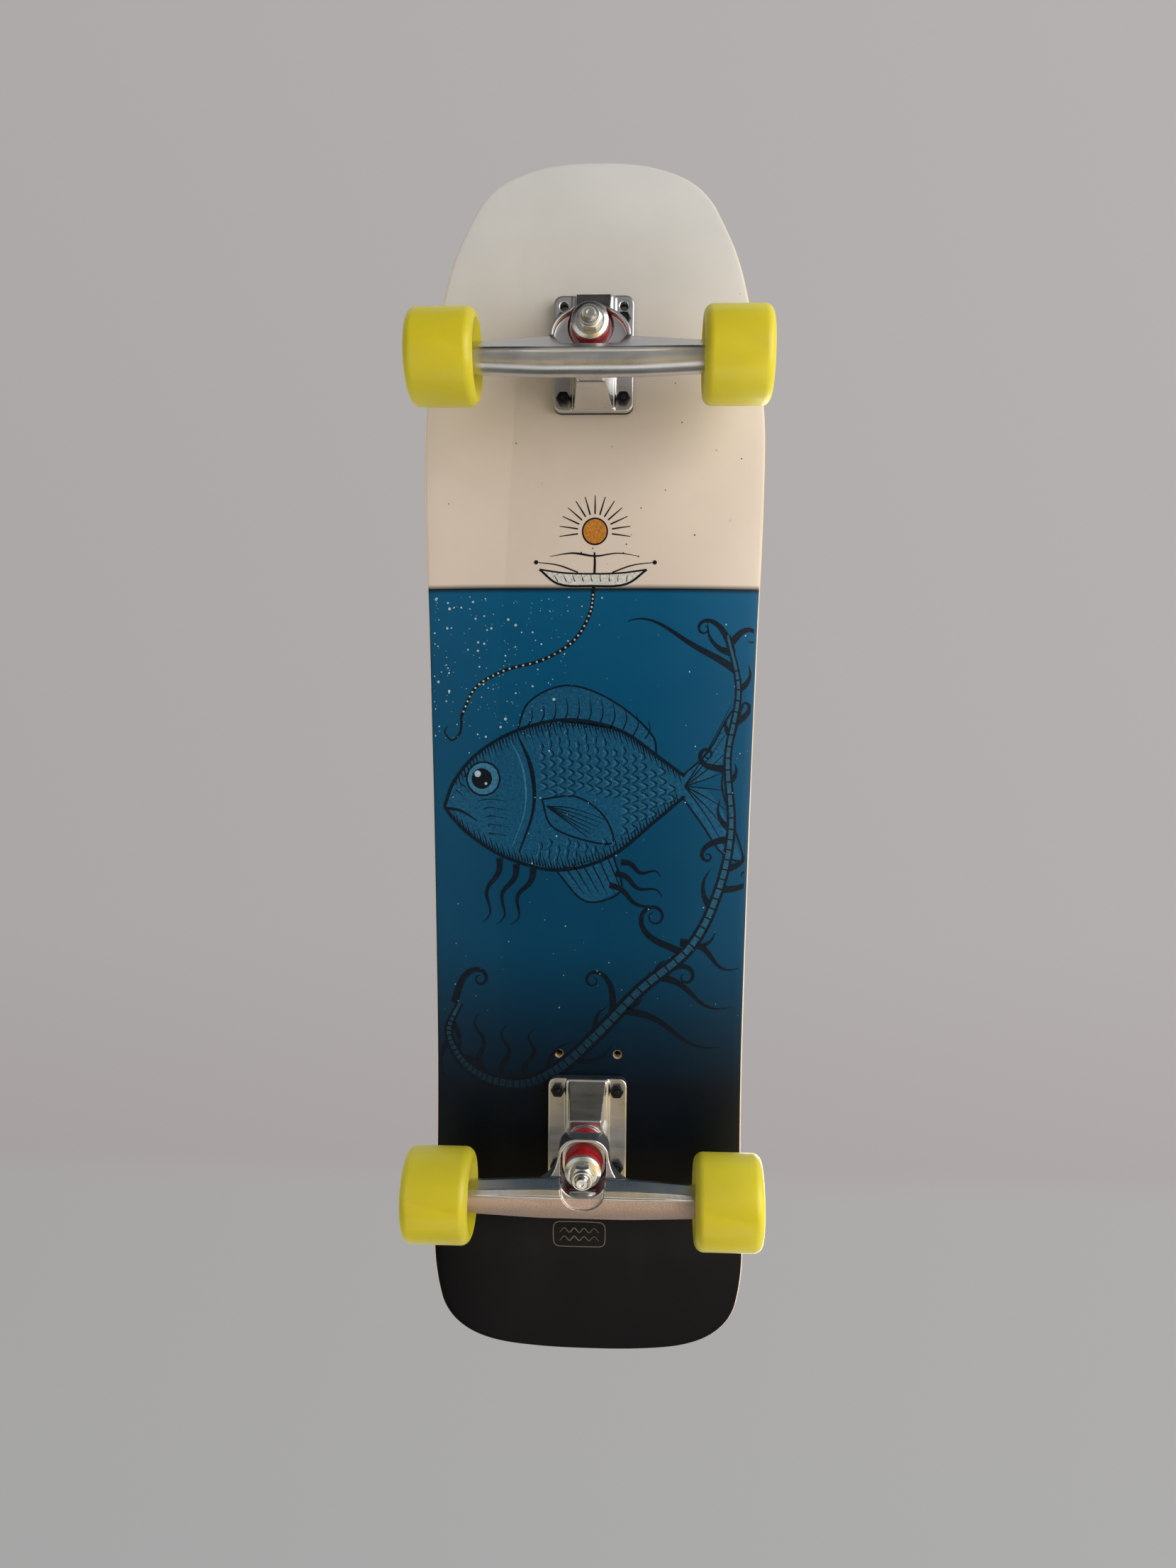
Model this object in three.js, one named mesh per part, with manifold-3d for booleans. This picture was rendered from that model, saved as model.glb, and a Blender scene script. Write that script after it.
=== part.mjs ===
// A complete skateboard: a one-piece maple deck on two cast trucks and four soft cruising wheels.
// Millimetres, +Z up, +Y towards the nose, standing on its wheels, with the origin on the ground
// under the middle of the deck.
//
// The board is drawn belly up, because that is how it is assembled on a bench: z is the height above
// the flat underside of the deck. The last lines turn the whole group over onto its wheels.

import * as THREE from "three";
import { mergeVertices } from "three/addons/utils/BufferGeometryUtils.js";
import Module from "manifold-3d";

const wasm = await Module();
wasm.setup();

// ---------------------------------------------------------------- driving dimensions

const DECK_HALF_LENGTH = 430;
const DECK_THICKNESS = 11; // seven plies
const EDGE_ROUND = 2.6;
const CONCAVE = 7; // how far the rails stand above the middle, on the rider's side
const CONCAVE_FLAT = 40; // the deck is flat as far as this from its middle line, and then it rises
const CONCAVE_SPAN = 80;
const TAIL_KICK = { from: -300, full: -350, slope: Math.tan(THREE.MathUtils.degToRad(18)) };
const NOSE_KICK = { from: 335, full: 375, slope: Math.tan(THREE.MathUtils.degToRad(12)) };
const GRIP_THICKNESS = 0.9;
const GAP = 0.3; // air left between pieces that rest on each other
const RUNNING_GAP = 0.1; // and between pieces that turn past each other

const AXLE_HEIGHT = 63; // above the deck's underside
const WHEEL_RADIUS = 31;
const WHEEL_INNER_FACE = 72.5;
const WHEEL_OUTER_FACE = 116.5;
const WHEEL_LIP_RADIUS = 24.2;
const WHEEL_EDGE_ROUND = 6.2;

const HANGER_HALF = 82.5;
const AXLE_RADIUS = 3.95;
const AXLE_HALF = 115.8;
const AXLE_BORE = 4.3;
const BEARING = { bore: 4.1, outside: 11, width: 7 };
const BEARING_INNER_AT = 83.5; // the inner bearing's inner face
const BEARING_SPACER = { length: 10, bore: 4.2, outside: 5.2 };
const AXLE_NUT = { flats: 12.7, bore: 4.2, height: 6.6, collar: 1.6 };
const SPEED_WASHER = 0.9; // room kept between the outer bearing and the axle nut

const BOLT_X = 20.64; // half of the 1 5/8 inch hole spacing
const HOLE_ROWS = [0, -53.98, -63.5]; // from a baseplate's inner row towards the board's end
const BOLT_ROWS = [0, -53.98];
const BOLT_RADIUS = 2.4;
const BOLT_HOLE = 2.75;
const BOLT_HEAD = { radius: 4.6, depth: 3.2 };
const BOLT_TIP = 14.2; // above the deck's underside
const LOCK_NUT = { flats: 8.7, bore: 2.55, height: 4.9, collar: 1.4 };

const RISER = 3.2;
const FLANGE_TOP = 8.5;
const BAND = { half: 15, height: 1.6 }; // the low raised band down the middle of a flange
const PLATE = { half: 27.5, inner: 8.3, outer: -70.7, corner: 5.5 };

// the stack on a kingpin, measured along it from the baseplate's seat
const STACK = {
  washer: 2,
  web: 16,
  webTop: 24.3,
  roadWasher: 38.4,
  nut: 40.8,
  tip: 52.6,
};
const KINGPIN_RADIUS = 4.7;
const KINGPIN_BORE = 5.05; // through the washers, the nut and the baseplate
const BUSHING_BORE = 5.1;
const BUSHING_RADIUS = 12.9; // at its fullest
// a bushing's radii at its lower end, its waist and its upper end
const BOARDSIDE_RADII = [11.6, BUSHING_RADIUS, 12.5];
const ROADSIDE_RADII = [12.7, 12.3, 9.8];
const WASHER_RADIUS = 12;
const WEB_HOLE = 8.9;
const KINGPIN_NUT = { flats: 14.3, bore: KINGPIN_BORE, height: 8.8, collar: 2 };

const PIVOT_RADIUS = 4.6;
const PIVOT_CUP = 6.2;

// Each truck's own places along the board, from its inner bolt row towards the board's end (negative).
const REAR = {
  name: "rear",
  innerRow: -223.3,
  towardsEnd: 1, // the truck's own -y is the board's -y
  axle: -55.6,
  seat: [-29.6, 28], // where the kingpin leaves the baseplate: y, z
  lean: 12, // degrees the kingpin leans towards the board's end
  pivot: [-60.7, 24],
  yokeSide: 1, // the yoke stands on the middle's side of the pivot
  steer: 39, // degrees the steering axis rises from the deck, going towards the board's middle
};
const FRONT = {
  name: "front",
  innerRow: 256.5,
  towardsEnd: -1,
  axle: -11.2,
  seat: [-33, 27.5],
  lean: 0,
  pivot: [-10.5, 46.5],
  yokeSide: -1,
  steer: 20,
};
const SPARE_ROWS = [23.3, -30.7]; // the deck's second rear mounting position, from the rear inner row

// sides of the prism that stands for each kind of round piece
const ROUND = { wheel: 24, bearing: 16, small: 10, bushing: 16, washer: 16, kingpin: 16, bore: 18 };
const ARC_SIDES = 4; // pieces to an arc of an outline

// ---------------------------------------------------------------- materials

const paint = (color, roughness, metalness) => ({ color, roughness, metalness });
const FINISH = {
  maple: paint(0x2a5f86, 0.45, 0),
  grit: paint(0x1a1a1a, 0.95, 0),
  rubber: paint(0x161616, 0.7, 0),
  cast: paint(0x9d9c99, 0.42, 0.9),
  steel: paint(0xb4b3ae, 0.3, 1),
  zinc: paint(0xc3c3bd, 0.32, 1),
  black: paint(0x17181b, 0.4, 0.7),
  red: paint(0xc2131c, 0.38, 0),
  nylon: paint(0x202020, 0.5, 0),
  urethane: paint(0xe6e53a, 0.42, 0),
};

// ---------------------------------------------------------------- making and cutting solids

const rad = THREE.MathUtils.degToRad;

// A closed solid from any closed geometry: its corners are shared, and it is turned right side out.
function solid(geometry) {
  const plain = geometry.clone();
  for (const name of Object.keys(plain.attributes)) {
    if (name !== "position") plain.deleteAttribute(name);
  }
  const merged = mergeVertices(plain, 1e-4);
  const at = merged.getAttribute("position").array;
  const index = merged.index.array;
  const kept = [];
  let volume = 0;
  const [a, b, c] = [new THREE.Vector3(), new THREE.Vector3(), new THREE.Vector3()];
  for (let i = 0; i < index.length; i += 3) {
    const [p, q, r] = [index[i], index[i + 1], index[i + 2]];
    if (p === q || q === r || r === p) continue;
    kept.push(p, q, r);
    volume += a.fromArray(at, 3 * p).dot(b.fromArray(at, 3 * q).cross(c.fromArray(at, 3 * r)));
  }
  if (volume < 0) kept.reverse();
  return new wasm.Manifold(
    new wasm.Mesh({
      numProp: 3,
      vertProperties: new Float32Array(at),
      triVerts: new Uint32Array(kept),
    }),
  );
}

function geometryOf(made) {
  const mesh = made.getMesh();
  const geometry = new THREE.BufferGeometry();
  geometry.setAttribute("position", new THREE.BufferAttribute(new Float32Array(mesh.vertProperties), 3));
  geometry.setIndex(new THREE.BufferAttribute(new Uint32Array(mesh.triVerts), 1));
  geometry.computeVertexNormals();
  return geometry;
}

const join = (...solids) => solids.reduce((all, one) => all.add(one));
const cut = (body, ...tools) => tools.reduce((left, tool) => left.subtract(tool), body);

// An outline [[x, y], ...], or a Shape, raised from z = low to z = high.
function prism(outline, low, high) {
  const points = Array.isArray(outline) ? outline.map(([x, y]) => new THREE.Vector2(x, y)) : null;
  const shape = points ? new THREE.Shape(points) : outline;
  const options = { depth: high - low, bevelEnabled: false, curveSegments: ARC_SIDES };
  return new THREE.ExtrudeGeometry(shape, options).translate(0, 0, low);
}

// A side profile [[y, z], ...] with the same thickness to the left and the right of the middle.
function sideProfile(points, half) {
  const made = prism(points, -half, half);
  // (y, z, x) becomes (x, y, z)
  const turn = new THREE.Matrix4().set(0, 0, 1, 0, 1, 0, 0, 0, 0, 1, 0, 0, 0, 0, 0, 1);
  return made.applyMatrix4(turn);
}

// A turned shape from its profile [[radius, height], ...], about +z.
function turned(profile, segments) {
  const made = new THREE.LatheGeometry(
    profile.map(([r, h]) => new THREE.Vector2(r, h)),
    segments,
  );
  return made.rotateX(Math.PI / 2);
}

const rod = (radius, low, high, segments) =>
  turned([[0, low], [radius, low], [radius, high], [0, high]], segments);

const ring = (inside, outside, low, high, segments) =>
  turned([[inside, low], [outside, low], [outside, high], [inside, high], [inside, low]], segments);

function hexagon(flats) {
  const corner = flats / 2 / Math.cos(Math.PI / 6);
  return Array.from({ length: 6 }, (_, i) => [
    corner * Math.cos((i * Math.PI) / 3),
    corner * Math.sin((i * Math.PI) / 3),
  ]);
}

// A lock nut: a hexagon with a bore, and a round collar on top that holds the nylon.
function nut({ flats, bore, height, collar }, low) {
  const body = solid(prism(hexagon(flats), low, low + height - collar));
  const top = solid(rod(flats / 2 - 0.4, low + 1, low + height, ROUND.small));
  return cut(join(body, top), solid(rod(bore, low - 1, low + height + 1, ROUND.small)));
}

function roundedRectangle(halfX, low, high, corner) {
  const s = new THREE.Shape();
  s.moveTo(-halfX + corner, low);
  s.lineTo(halfX - corner, low);
  s.absarc(halfX - corner, low + corner, corner, -Math.PI / 2, 0);
  s.absarc(halfX - corner, high - corner, corner, 0, Math.PI / 2);
  s.absarc(-halfX + corner, high - corner, corner, Math.PI / 2, Math.PI);
  s.absarc(-halfX + corner, low + corner, corner, Math.PI, 1.5 * Math.PI);
  return s;
}

// A skin through sections of equal point count, closed with a cap at each end.
function loft(sections) {
  const count = sections[0].length;
  const at = sections.flat(2);
  const index = [];
  for (let s = 0; s + 1 < sections.length; s++) {
    for (let i = 0; i < count; i++) {
      const [a, b] = [s * count + i, s * count + ((i + 1) % count)];
      index.push(a, b, b + count, a, b + count, a + count);
    }
  }
  const last = (sections.length - 1) * count;
  for (let i = 1; i + 1 < count; i++) {
    index.push(0, i + 1, i, last, last + i, last + i + 1);
  }
  const made = new THREE.BufferGeometry();
  made.setAttribute("position", new THREE.BufferAttribute(new Float32Array(at), 3));
  made.setIndex(index);
  return made;
}

// ---------------------------------------------------------------- deck and grip tape

// Half of the outline, from the middle of the nose to the middle of the tail: [half width, y].
const OUTLINE = [
  [0, 430], [20, 429.3], [38, 426.5], [55, 421], [69.5, 413], [81.5, 400], [90, 383], [98.6, 362],
  [107, 331], [119.4, 253], [120, 190], [116.6, 90], [112.4, -50], [109, -220], [109.5, -300],
  [111.9, -355], [109.7, -382], [106.5, -396], [99.5, -408], [87.5, -418], [69, -425], [36, -429],
  [0, -430],
];

function kickHeight(y, kick) {
  const along = (y - kick.from) / (kick.full - kick.from);
  if (along <= 0) return 0;
  const ramp = Math.abs(kick.full - kick.from);
  const straight = Math.max(0, along - 1) * ramp;
  return kick.slope * ((ramp * Math.min(along, 1) ** 2) / 2 + straight);
}

// The height of the deck's underside at a place: the rails and both kicks bend away from z = 0.
function undersideAt(x, y) {
  const off = Math.max(0, Math.abs(x) - CONCAVE_FLAT) / CONCAVE_SPAN;
  return -CONCAVE * off ** 1.8 - kickHeight(y, TAIL_KICK) - kickHeight(y, NOSE_KICK);
}

// A point that lies `depth` under the underside, measured square to it.
function inDeck(x, y, depth) {
  const step = 0.5;
  const normal = new THREE.Vector3(
    (undersideAt(x - step, y) - undersideAt(x + step, y)) / (2 * step),
    (undersideAt(x, y - step) - undersideAt(x, y + step)) / (2 * step),
    1,
  ).normalize();
  return [x - depth * normal.x, y - depth * normal.y, undersideAt(x, y) - depth * normal.z];
}

const DECK_ROWS = 30;
const DECK_COLUMNS = 6;

// Half of the outline drawn in by `inset`: pairs of half width and y, from the nose to the tail.
function halfOutline(inset) {
  const mirrored = OUTLINE.slice(1, -1).reverse().map(([x, y]) => [-x, y]);
  const curve = new THREE.CatmullRomCurve3(
    [...OUTLINE, ...mirrored].map(([x, y]) => new THREE.Vector3(x, y, 0)),
    true,
  );
  const rows = [];
  for (let i = 0; i <= DECK_ROWS; i++) {
    const u = i / (2 * DECK_ROWS);
    const p = curve.getPoint(u);
    const tangent = curve.getTangent(u);
    rows.push([Math.max(0, p.x + inset * tangent.y), p.y - inset * tangent.x]);
  }
  rows[0] = [0, DECK_HALF_LENGTH - inset];
  rows[DECK_ROWS] = [0, inset - DECK_HALF_LENGTH];
  return rows;
}

// A closed plate from levels [[depth, inset], ...]: a skin on the first and the last, walls between.
function plate(levels) {
  const at = [];
  const index = [];
  const put = (x, y, depth) => at.push(inDeck(x, y, depth)) - 1;
  const grids = levels.map(([depth, inset], level) => {
    const skin = level === 0 || level === levels.length - 1;
    return halfOutline(inset).map(([half, y]) => {
      if (half < 1e-6) return Array(DECK_COLUMNS + 1).fill(put(0, y, depth));
      return Array.from({ length: DECK_COLUMNS + 1 }, (_, j) =>
        skin || j === 0 || j === DECK_COLUMNS ? put(half * ((2 * j) / DECK_COLUMNS - 1), y, depth) : -1,
      );
    });
  });
  const quad = (a, b, c, d) => {
    if (a !== b && b !== c && c !== a) index.push(a, b, c);
    if (a !== c && c !== d && d !== a) index.push(a, c, d);
  };
  const first = grids[0];
  const last = grids[grids.length - 1];
  for (let i = 0; i < DECK_ROWS; i++) {
    for (let j = 0; j < DECK_COLUMNS; j++) {
      quad(first[i][j], first[i + 1][j], first[i + 1][j + 1], first[i][j + 1]);
      quad(last[i][j], last[i][j + 1], last[i + 1][j + 1], last[i + 1][j]);
    }
  }
  for (let level = 0; level + 1 < grids.length; level++) {
    const [g, h] = [grids[level], grids[level + 1]];
    for (let i = 0; i < DECK_ROWS; i++) {
      quad(g[i][DECK_COLUMNS], g[i + 1][DECK_COLUMNS], h[i + 1][DECK_COLUMNS], h[i][DECK_COLUMNS]);
      quad(g[i][0], h[i][0], h[i + 1][0], g[i + 1][0]);
    }
  }
  const made = new THREE.BufferGeometry();
  made.setAttribute("position", new THREE.BufferAttribute(new Float32Array(at.flat()), 3));
  made.setIndex(index);
  return solid(made);
}

// y of a row that is `from` mm from a truck's inner bolt row, where minus is towards the board's end
const rowAt = (truck, from) => truck.innerRow + truck.towardsEnd * from;

function boltPlaces() {
  return [FRONT, REAR].flatMap((truck) =>
    BOLT_ROWS.flatMap((row) => [-BOLT_X, BOLT_X].map((x) => [x, rowAt(truck, row)])),
  );
}

function makeDeck() {
  const body = plate([
    [0, EDGE_ROUND],
    [EDGE_ROUND, 0],
    [DECK_THICKNESS - EDGE_ROUND, 0],
    [DECK_THICKNESS, EDGE_ROUND],
  ]);
  const spares = SPARE_ROWS.flatMap((row) => [-BOLT_X, BOLT_X].map((x) => [x, rowAt(REAR, row)]));
  const holes = [...boltPlaces(), ...spares].map(([x, y]) =>
    solid(rod(BOLT_HOLE, -DECK_THICKNESS - 9, 2, ROUND.small).translate(x, y, 0)),
  );
  const sinks = boltPlaces().map(([x, y]) => {
    const { radius, depth } = BOLT_HEAD;
    const low = -DECK_THICKNESS - 0.4;
    const mouth = radius + GAP;
    const profile = [
      [0, low - 6], [mouth, low - 6], [mouth, low + 0.6], [BOLT_HOLE, low + depth], [0, low + depth],
    ];
    return solid(turned(profile, ROUND.small).translate(x, y, 0));
  });
  return cut(body, ...holes, ...sinks);
}

function makeGrip() {
  const low = DECK_THICKNESS + GAP;
  const body = plate([
    [low, EDGE_ROUND],
    [low + GRIP_THICKNESS, EDGE_ROUND],
  ]);
  const holes = boltPlaces().map(([x, y]) =>
    solid(rod(BOLT_HEAD.radius + GAP, -DECK_THICKNESS - 9, 2, ROUND.small).translate(x, y, 0)),
  );
  return cut(body, ...holes);
}

// ---------------------------------------------------------------- a truck's frame pieces
// These are drawn with y = 0 at the inner bolt row and -y towards the board's end.

// Moves what is drawn along a kingpin (z from the seat) to its place in the truck.
function onKingpin(truck, geometry) {
  const [y, z] = truck.seat;
  return geometry.rotateX(rad(truck.lean)).translate(0, y, z);
}

// Moves what is drawn along the steering axis (z from the pivot, towards the yoke) to its place.
function onSteeringAxis(truck, geometry) {
  const [y, z] = truck.pivot;
  const [along, up] = [Math.cos(rad(truck.steer)), Math.sin(rad(truck.steer))];
  const turn = Math.atan2(-truck.yokeSide * along, truck.yokeSide * up);
  return geometry.rotateX(turn).translate(0, y, z);
}

// The six bolt holes of a baseplate and its riser pad.
function boltBores(low, high) {
  return HOLE_ROWS.flatMap((y) =>
    [-BOLT_X, BOLT_X].map((x) => solid(rod(BOLT_HOLE, low, high, ROUND.small).translate(x, y, 0))),
  );
}

const plateShape = roundedRectangle(PLATE.half, PLATE.outer, PLATE.inner, PLATE.corner);

function makeRiser() {
  return cut(solid(prism(plateShape, GAP, RISER - GAP)), ...boltBores(-1, RISER + 1));
}

// The flange that both baseplates share, with a low raised band down the middle.
function flange() {
  const bandShape = roundedRectangle(BAND.half, PLATE.outer + 0.6, PLATE.inner - 0.6, 2);
  const band = solid(prism(bandShape, RISER, FLANGE_TOP + BAND.height));
  return join(solid(prism(plateShape, RISER, FLANGE_TOP)), band);
}

// A block whose sides draft inwards from the half width `foot` at the flange to `crown` at `top`.
function draftedBlock(profile, foot, crown, top) {
  const body = solid(sideProfile(profile, foot));
  const across = [
    [-foot, RISER], [foot, RISER], [foot, FLANGE_TOP], [crown, top], [-crown, top], [-foot, FLANGE_TOP],
  ];
  const mask = solid(prism(across, -60, 60).rotateX(Math.PI / 2).translate(0, -30, 0));
  return body.intersect(mask);
}

function makeRearBaseplate() {
  const truck = REAR;
  const [seatY] = truck.seat;
  // a ramp rises from the inner edge to the lip round the seat and falls away behind it
  const ramp = [
    [PLATE.inner - 0.8, RISER], [PLATE.inner - 0.8, FLANGE_TOP], [seatY + 15.1, 32.9],
    [seatY + 13, 32.4], [seatY - 14.9, 26], [seatY - 16.9, 12], [seatY - 16.9, RISER],
  ];
  const block = draftedBlock(ramp, 12.6, 10.8, 34);
  const round = solid(onKingpin(truck, rod(15, -16, 0, ROUND.bore)));
  const boss = solid(onSteeringAxis(truck, rod(PIVOT_CUP + 3.2, -7.4, 2.5, ROUND.bore)));
  const [heel, toe] = [PLATE.outer + 1.4, seatY - 16];
  const foot = solid(sideProfile([[heel, RISER], [heel, 17], [toe, 17], [toe, RISER]], 9.2));
  const below = solid(new THREE.BoxGeometry(200, 200, 60).translate(0, 0, RISER - 30));
  return cut(
    join(flange(), block, round, boss, foot),
    below,
    ...boltBores(0, FLANGE_TOP + 6),
    solid(onKingpin(truck, rod(KINGPIN_BORE, -40, 8, ROUND.kingpin))),
    solid(onKingpin(truck, rod(13.5, 0, 12, ROUND.bore))),
    solid(onSteeringAxis(truck, rod(PIVOT_CUP + GAP, -6.2, 20, ROUND.bore))),
  );
}

function makeFrontBaseplate() {
  const truck = FRONT;
  const [seatY, seatZ] = truck.seat;
  const [pivotY, pivotZ] = truck.pivot;
  // the horn stands almost upright on the inner edge and carries the pivot cup at its top
  const horn = [
    [PLATE.inner - 0.2, RISER], [PLATE.inner - 0.4, FLANGE_TOP], [pivotY + 9.8, pivotZ - 2],
    [pivotY + 7.6, pivotZ - 0.6], [pivotY - 1.6, pivotZ - 0.6], [pivotY - 1.6, pivotZ - 10],
    [pivotY - 6, 20], [pivotY - 6, RISER],
  ];
  const back = draftedBlock(horn, 13.2, 8.4, 58);
  const top = solid(onSteeringAxis(truck, rod(PIVOT_CUP + 1.9, -8, 1.4, ROUND.bore)));
  const seat = solid(onKingpin(truck, rod(15, -seatZ + RISER, 0, ROUND.bore)));
  const ridge = draftedBlock(
    [
      [pivotY - 4, RISER], [pivotY - 4, 20], [seatY + 12, seatZ - 1], [seatY - 13, seatZ - 1],
      [PLATE.outer + 0.8, 13], [PLATE.outer + 0.8, RISER],
    ],
    12.4, 10.6, 32,
  );
  return cut(
    join(flange(), back, top, seat, ridge),
    ...boltBores(0, FLANGE_TOP + 6),
    solid(onKingpin(truck, rod(KINGPIN_BORE, -40, 8, ROUND.kingpin))),
    solid(onSteeringAxis(truck, rod(PIVOT_CUP + GAP, -6.2, 20, ROUND.bore))),
  );
}

// ---------------------------------------------------------------- hangers

// The section of a beam at its middle, about the axle: [towards the kingpin, away from the deck].
const FRONT_SECTION = [
  [13.5, -1.5], [1.8, 10], [-1.2, 10], [-5.5, 9.3], [-9.6, 6.6], [-12.1, 2.4], [-12.8, -1.8],
  [-11.8, -6.2], [-8.4, -9.9], [-3, -12], [4, -12], [10.4, -8.6],
];
const REAR_SECTION = [
  [13.2, 1.5], [8.8, 10], [4.4, 10], [3.2, 8.9], [-4, 7.4], [-9, 5.2], [-12.7, 2.2],
  [-13, -1.4], [-10.6, -7], [-4, -11.4], [5, -11.4], [11, -6.6],
];
const BEAM_STATIONS = [-82.5, -74, -62, -48, -36, -27, 27, 36, 48, 62, 74, 82.5];
const BEAM_END_RADIUS = 10.4;

// The beam keeps its middle section under the yoke and draws in to a round end.
function beam(truck, section) {
  const side = truck === REAR ? 1 : -1;
  const sections = BEAM_STATIONS.map((x) => {
    const along = Math.max(0, Math.abs(x) - 27) / (HANGER_HALF - 27);
    const blend = along ** 1.15;
    return section.map(([dy, dz]) => {
      const angle = Math.atan2(dz + 0.4, dy + 0.5);
      const end = [BEAM_END_RADIUS * Math.cos(angle) - 0.5, BEAM_END_RADIUS * Math.sin(angle) - 0.4];
      const y = THREE.MathUtils.lerp(dy, end[0], blend);
      const z = THREE.MathUtils.lerp(dz, end[1], blend);
      return [x, truck.axle + side * y, AXLE_HEIGHT + z];
    });
  });
  return solid(loft(sections));
}

// A rod along the axle, as far as `half` on both sides of the middle.
const alongAxle = (truck, radius, half) =>
  solid(rod(radius, -half, half, ROUND.bore).rotateY(Math.PI / 2).translate(0, truck.axle, AXLE_HEIGHT));

const axleBore = (truck) => alongAxle(truck, AXLE_BORE, HANGER_HALF + 1);

// The round tip that turns in the pivot cup, on its tapered neck.
function pivotNose(truck, neck, length) {
  const r = PIVOT_RADIUS;
  const profile = [[0, -r]];
  for (let i = 1; i <= 4; i++) {
    const a = (i * Math.PI) / 8;
    profile.push([r * Math.sin(a), -r * Math.cos(a)]);
  }
  profile.push([neck, length], [0, length]);
  return solid(onSteeringAxis(truck, turned(profile, ROUND.kingpin)));
}

// Half of the rear yoke's outline on either side: a rounded cup, with or without wings to the beam.
function rearYokeOutline(wingHalf) {
  const [side, crown, corner, foot] = [16.8, 18.6, 12.5, -13];
  const s = new THREE.Shape();
  s.moveTo(-wingHalf, foot);
  s.lineTo(wingHalf, foot);
  s.quadraticCurveTo(side + 1.8, foot / 2, side, crown - corner);
  s.absarc(side - corner, crown - corner, corner, 0, Math.PI / 2);
  s.absarc(corner - side, crown - corner, corner, Math.PI / 2, Math.PI);
  s.quadraticCurveTo(-side - 1.8, foot / 2, -wingHalf, foot);
  return s;
}

// The rear yoke is a deep cup round the kingpin, and its sides climb as flat wings to the beam.
function makeRearHanger() {
  const truck = REAR;
  const [low, wingsFrom, high] = [14.8, 24, 46];
  // seen from the side: the cup's rim dips a little, then the wings climb to the beam's ledge
  const side = [
    [-17.6, 36], [-17.6, 61], [-31, 59.6], [-42.4, 61.2], [-46.6, 70.6], [-57, 70.6], [-57, 36],
  ];
  const cup = solid(onKingpin(truck, prism(rearYokeOutline(15.5), low, high)));
  const wings = solid(onKingpin(truck, prism(rearYokeOutline(30), wingsFrom, high)));
  const yoke = join(cup, wings).intersect(solid(sideProfile(side, 40)));
  const neckSide = [
    [-49.2, 27], [-48.2, 30], [-48.2, 44], [-37, 48], [-37, 56], [-62, 56], [-63.5, 50],
    [-57.4, 35],
  ];
  const neck = solid(sideProfile(neckSide, 6.4));
  const body = join(yoke, beam(truck, REAR_SECTION), neck, pivotNose(truck, 5.4, 12));
  const wellShape = roundedRectangle(14.3, -14.4, 16.3, 11.5);
  const well = solid(onKingpin(truck, prism(wellShape, STACK.webTop, 70)));
  const axleWall = alongAxle(truck, AXLE_BORE + 1.1, HANGER_HALF / 2);
  const scoop = roundedRectangle(14.3, truck.axle - 5.4, truck.axle + 40, 13);
  return cut(
    body,
    well.subtract(axleWall),
    solid(prism(scoop, AXLE_HEIGHT + 6.2, 90)),
    solid(onKingpin(truck, rod(BUSHING_RADIUS + 0.6, 0, STACK.web, ROUND.bore))),
    solid(onKingpin(truck, rod(WEB_HOLE, 0, 40, ROUND.bore))),
    axleBore(truck),
  );
}

// The front yoke is a wide shallow dish with a thin rim; the bushing sits in a round well in its floor.
function makeFrontHanger() {
  const truck = FRONT;
  const [seatY] = truck.seat;
  const [low, dishFrom, floorAt, high] = [14.8, 22, 28, 33.6];
  const middle = 6.5; // the dish's middle, from the kingpin towards the beam
  const beamY = truck.axle - seatY;
  const dish = (halfX, halfY, foot, footHalf) => {
    const s = new THREE.Shape();
    s.moveTo(-halfX, middle);
    s.absellipse(0, middle, halfX, halfY, Math.PI, 2 * Math.PI, false);
    s.lineTo(footHalf, foot);
    s.lineTo(-footHalf, foot);
    return s;
  };
  const raised = (shape, from, to) => solid(onKingpin(truck, prism(shape, from, to)));
  const rim = raised(dish(26.2, 18.8, beamY - 3, 33), dishFrom, high);
  const under = join(
    solid(onKingpin(truck, rod(17.6, low, dishFrom + 1, 24))),
    raised([[-13, 0], [13, 0], [13, beamY - 3], [-13, beamY - 3]], low, dishFrom + 1),
  );
  const pocket = solid(onSteeringAxis(truck, rod(PIVOT_CUP + 2.9, -9.6, 3.4, ROUND.bore)));
  const body = join(rim, under, beam(truck, FRONT_SECTION)).subtract(pocket);
  return cut(
    join(body, pivotNose(truck, 5.6, 10)),
    raised(dish(24, 16.7, beamY - 6.4, 18.5), floorAt, 70),
    solid(onKingpin(truck, rod(14.7, STACK.webTop, 70, ROUND.bore))),
    solid(onKingpin(truck, rod(BUSHING_RADIUS + 0.6, 0, STACK.web, ROUND.bore))),
    solid(onKingpin(truck, rod(WEB_HOLE, 0, 40, ROUND.bore))),
    axleBore(truck),
  );
}

// ---------------------------------------------------------------- kingpin, bushings and washers

function makeKingpin(truck) {
  const foot = truck.seat[1] / Math.cos(rad(truck.lean)) - RISER - 1.4;
  const r = KINGPIN_RADIUS;
  const profile = [[0, -foot], [r, -foot], [r, STACK.tip - 1], [r - 1, STACK.tip], [0, STACK.tip]];
  return solid(onKingpin(truck, turned(profile, ROUND.kingpin)));
}

// The boardside washer is flat; the roadside one is a cup whose lip holds the bushing.
function flatWasher(truck) {
  const flat = ring(KINGPIN_BORE, WASHER_RADIUS, 0.2, STACK.washer, ROUND.washer);
  return solid(onKingpin(truck, flat));
}

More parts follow.
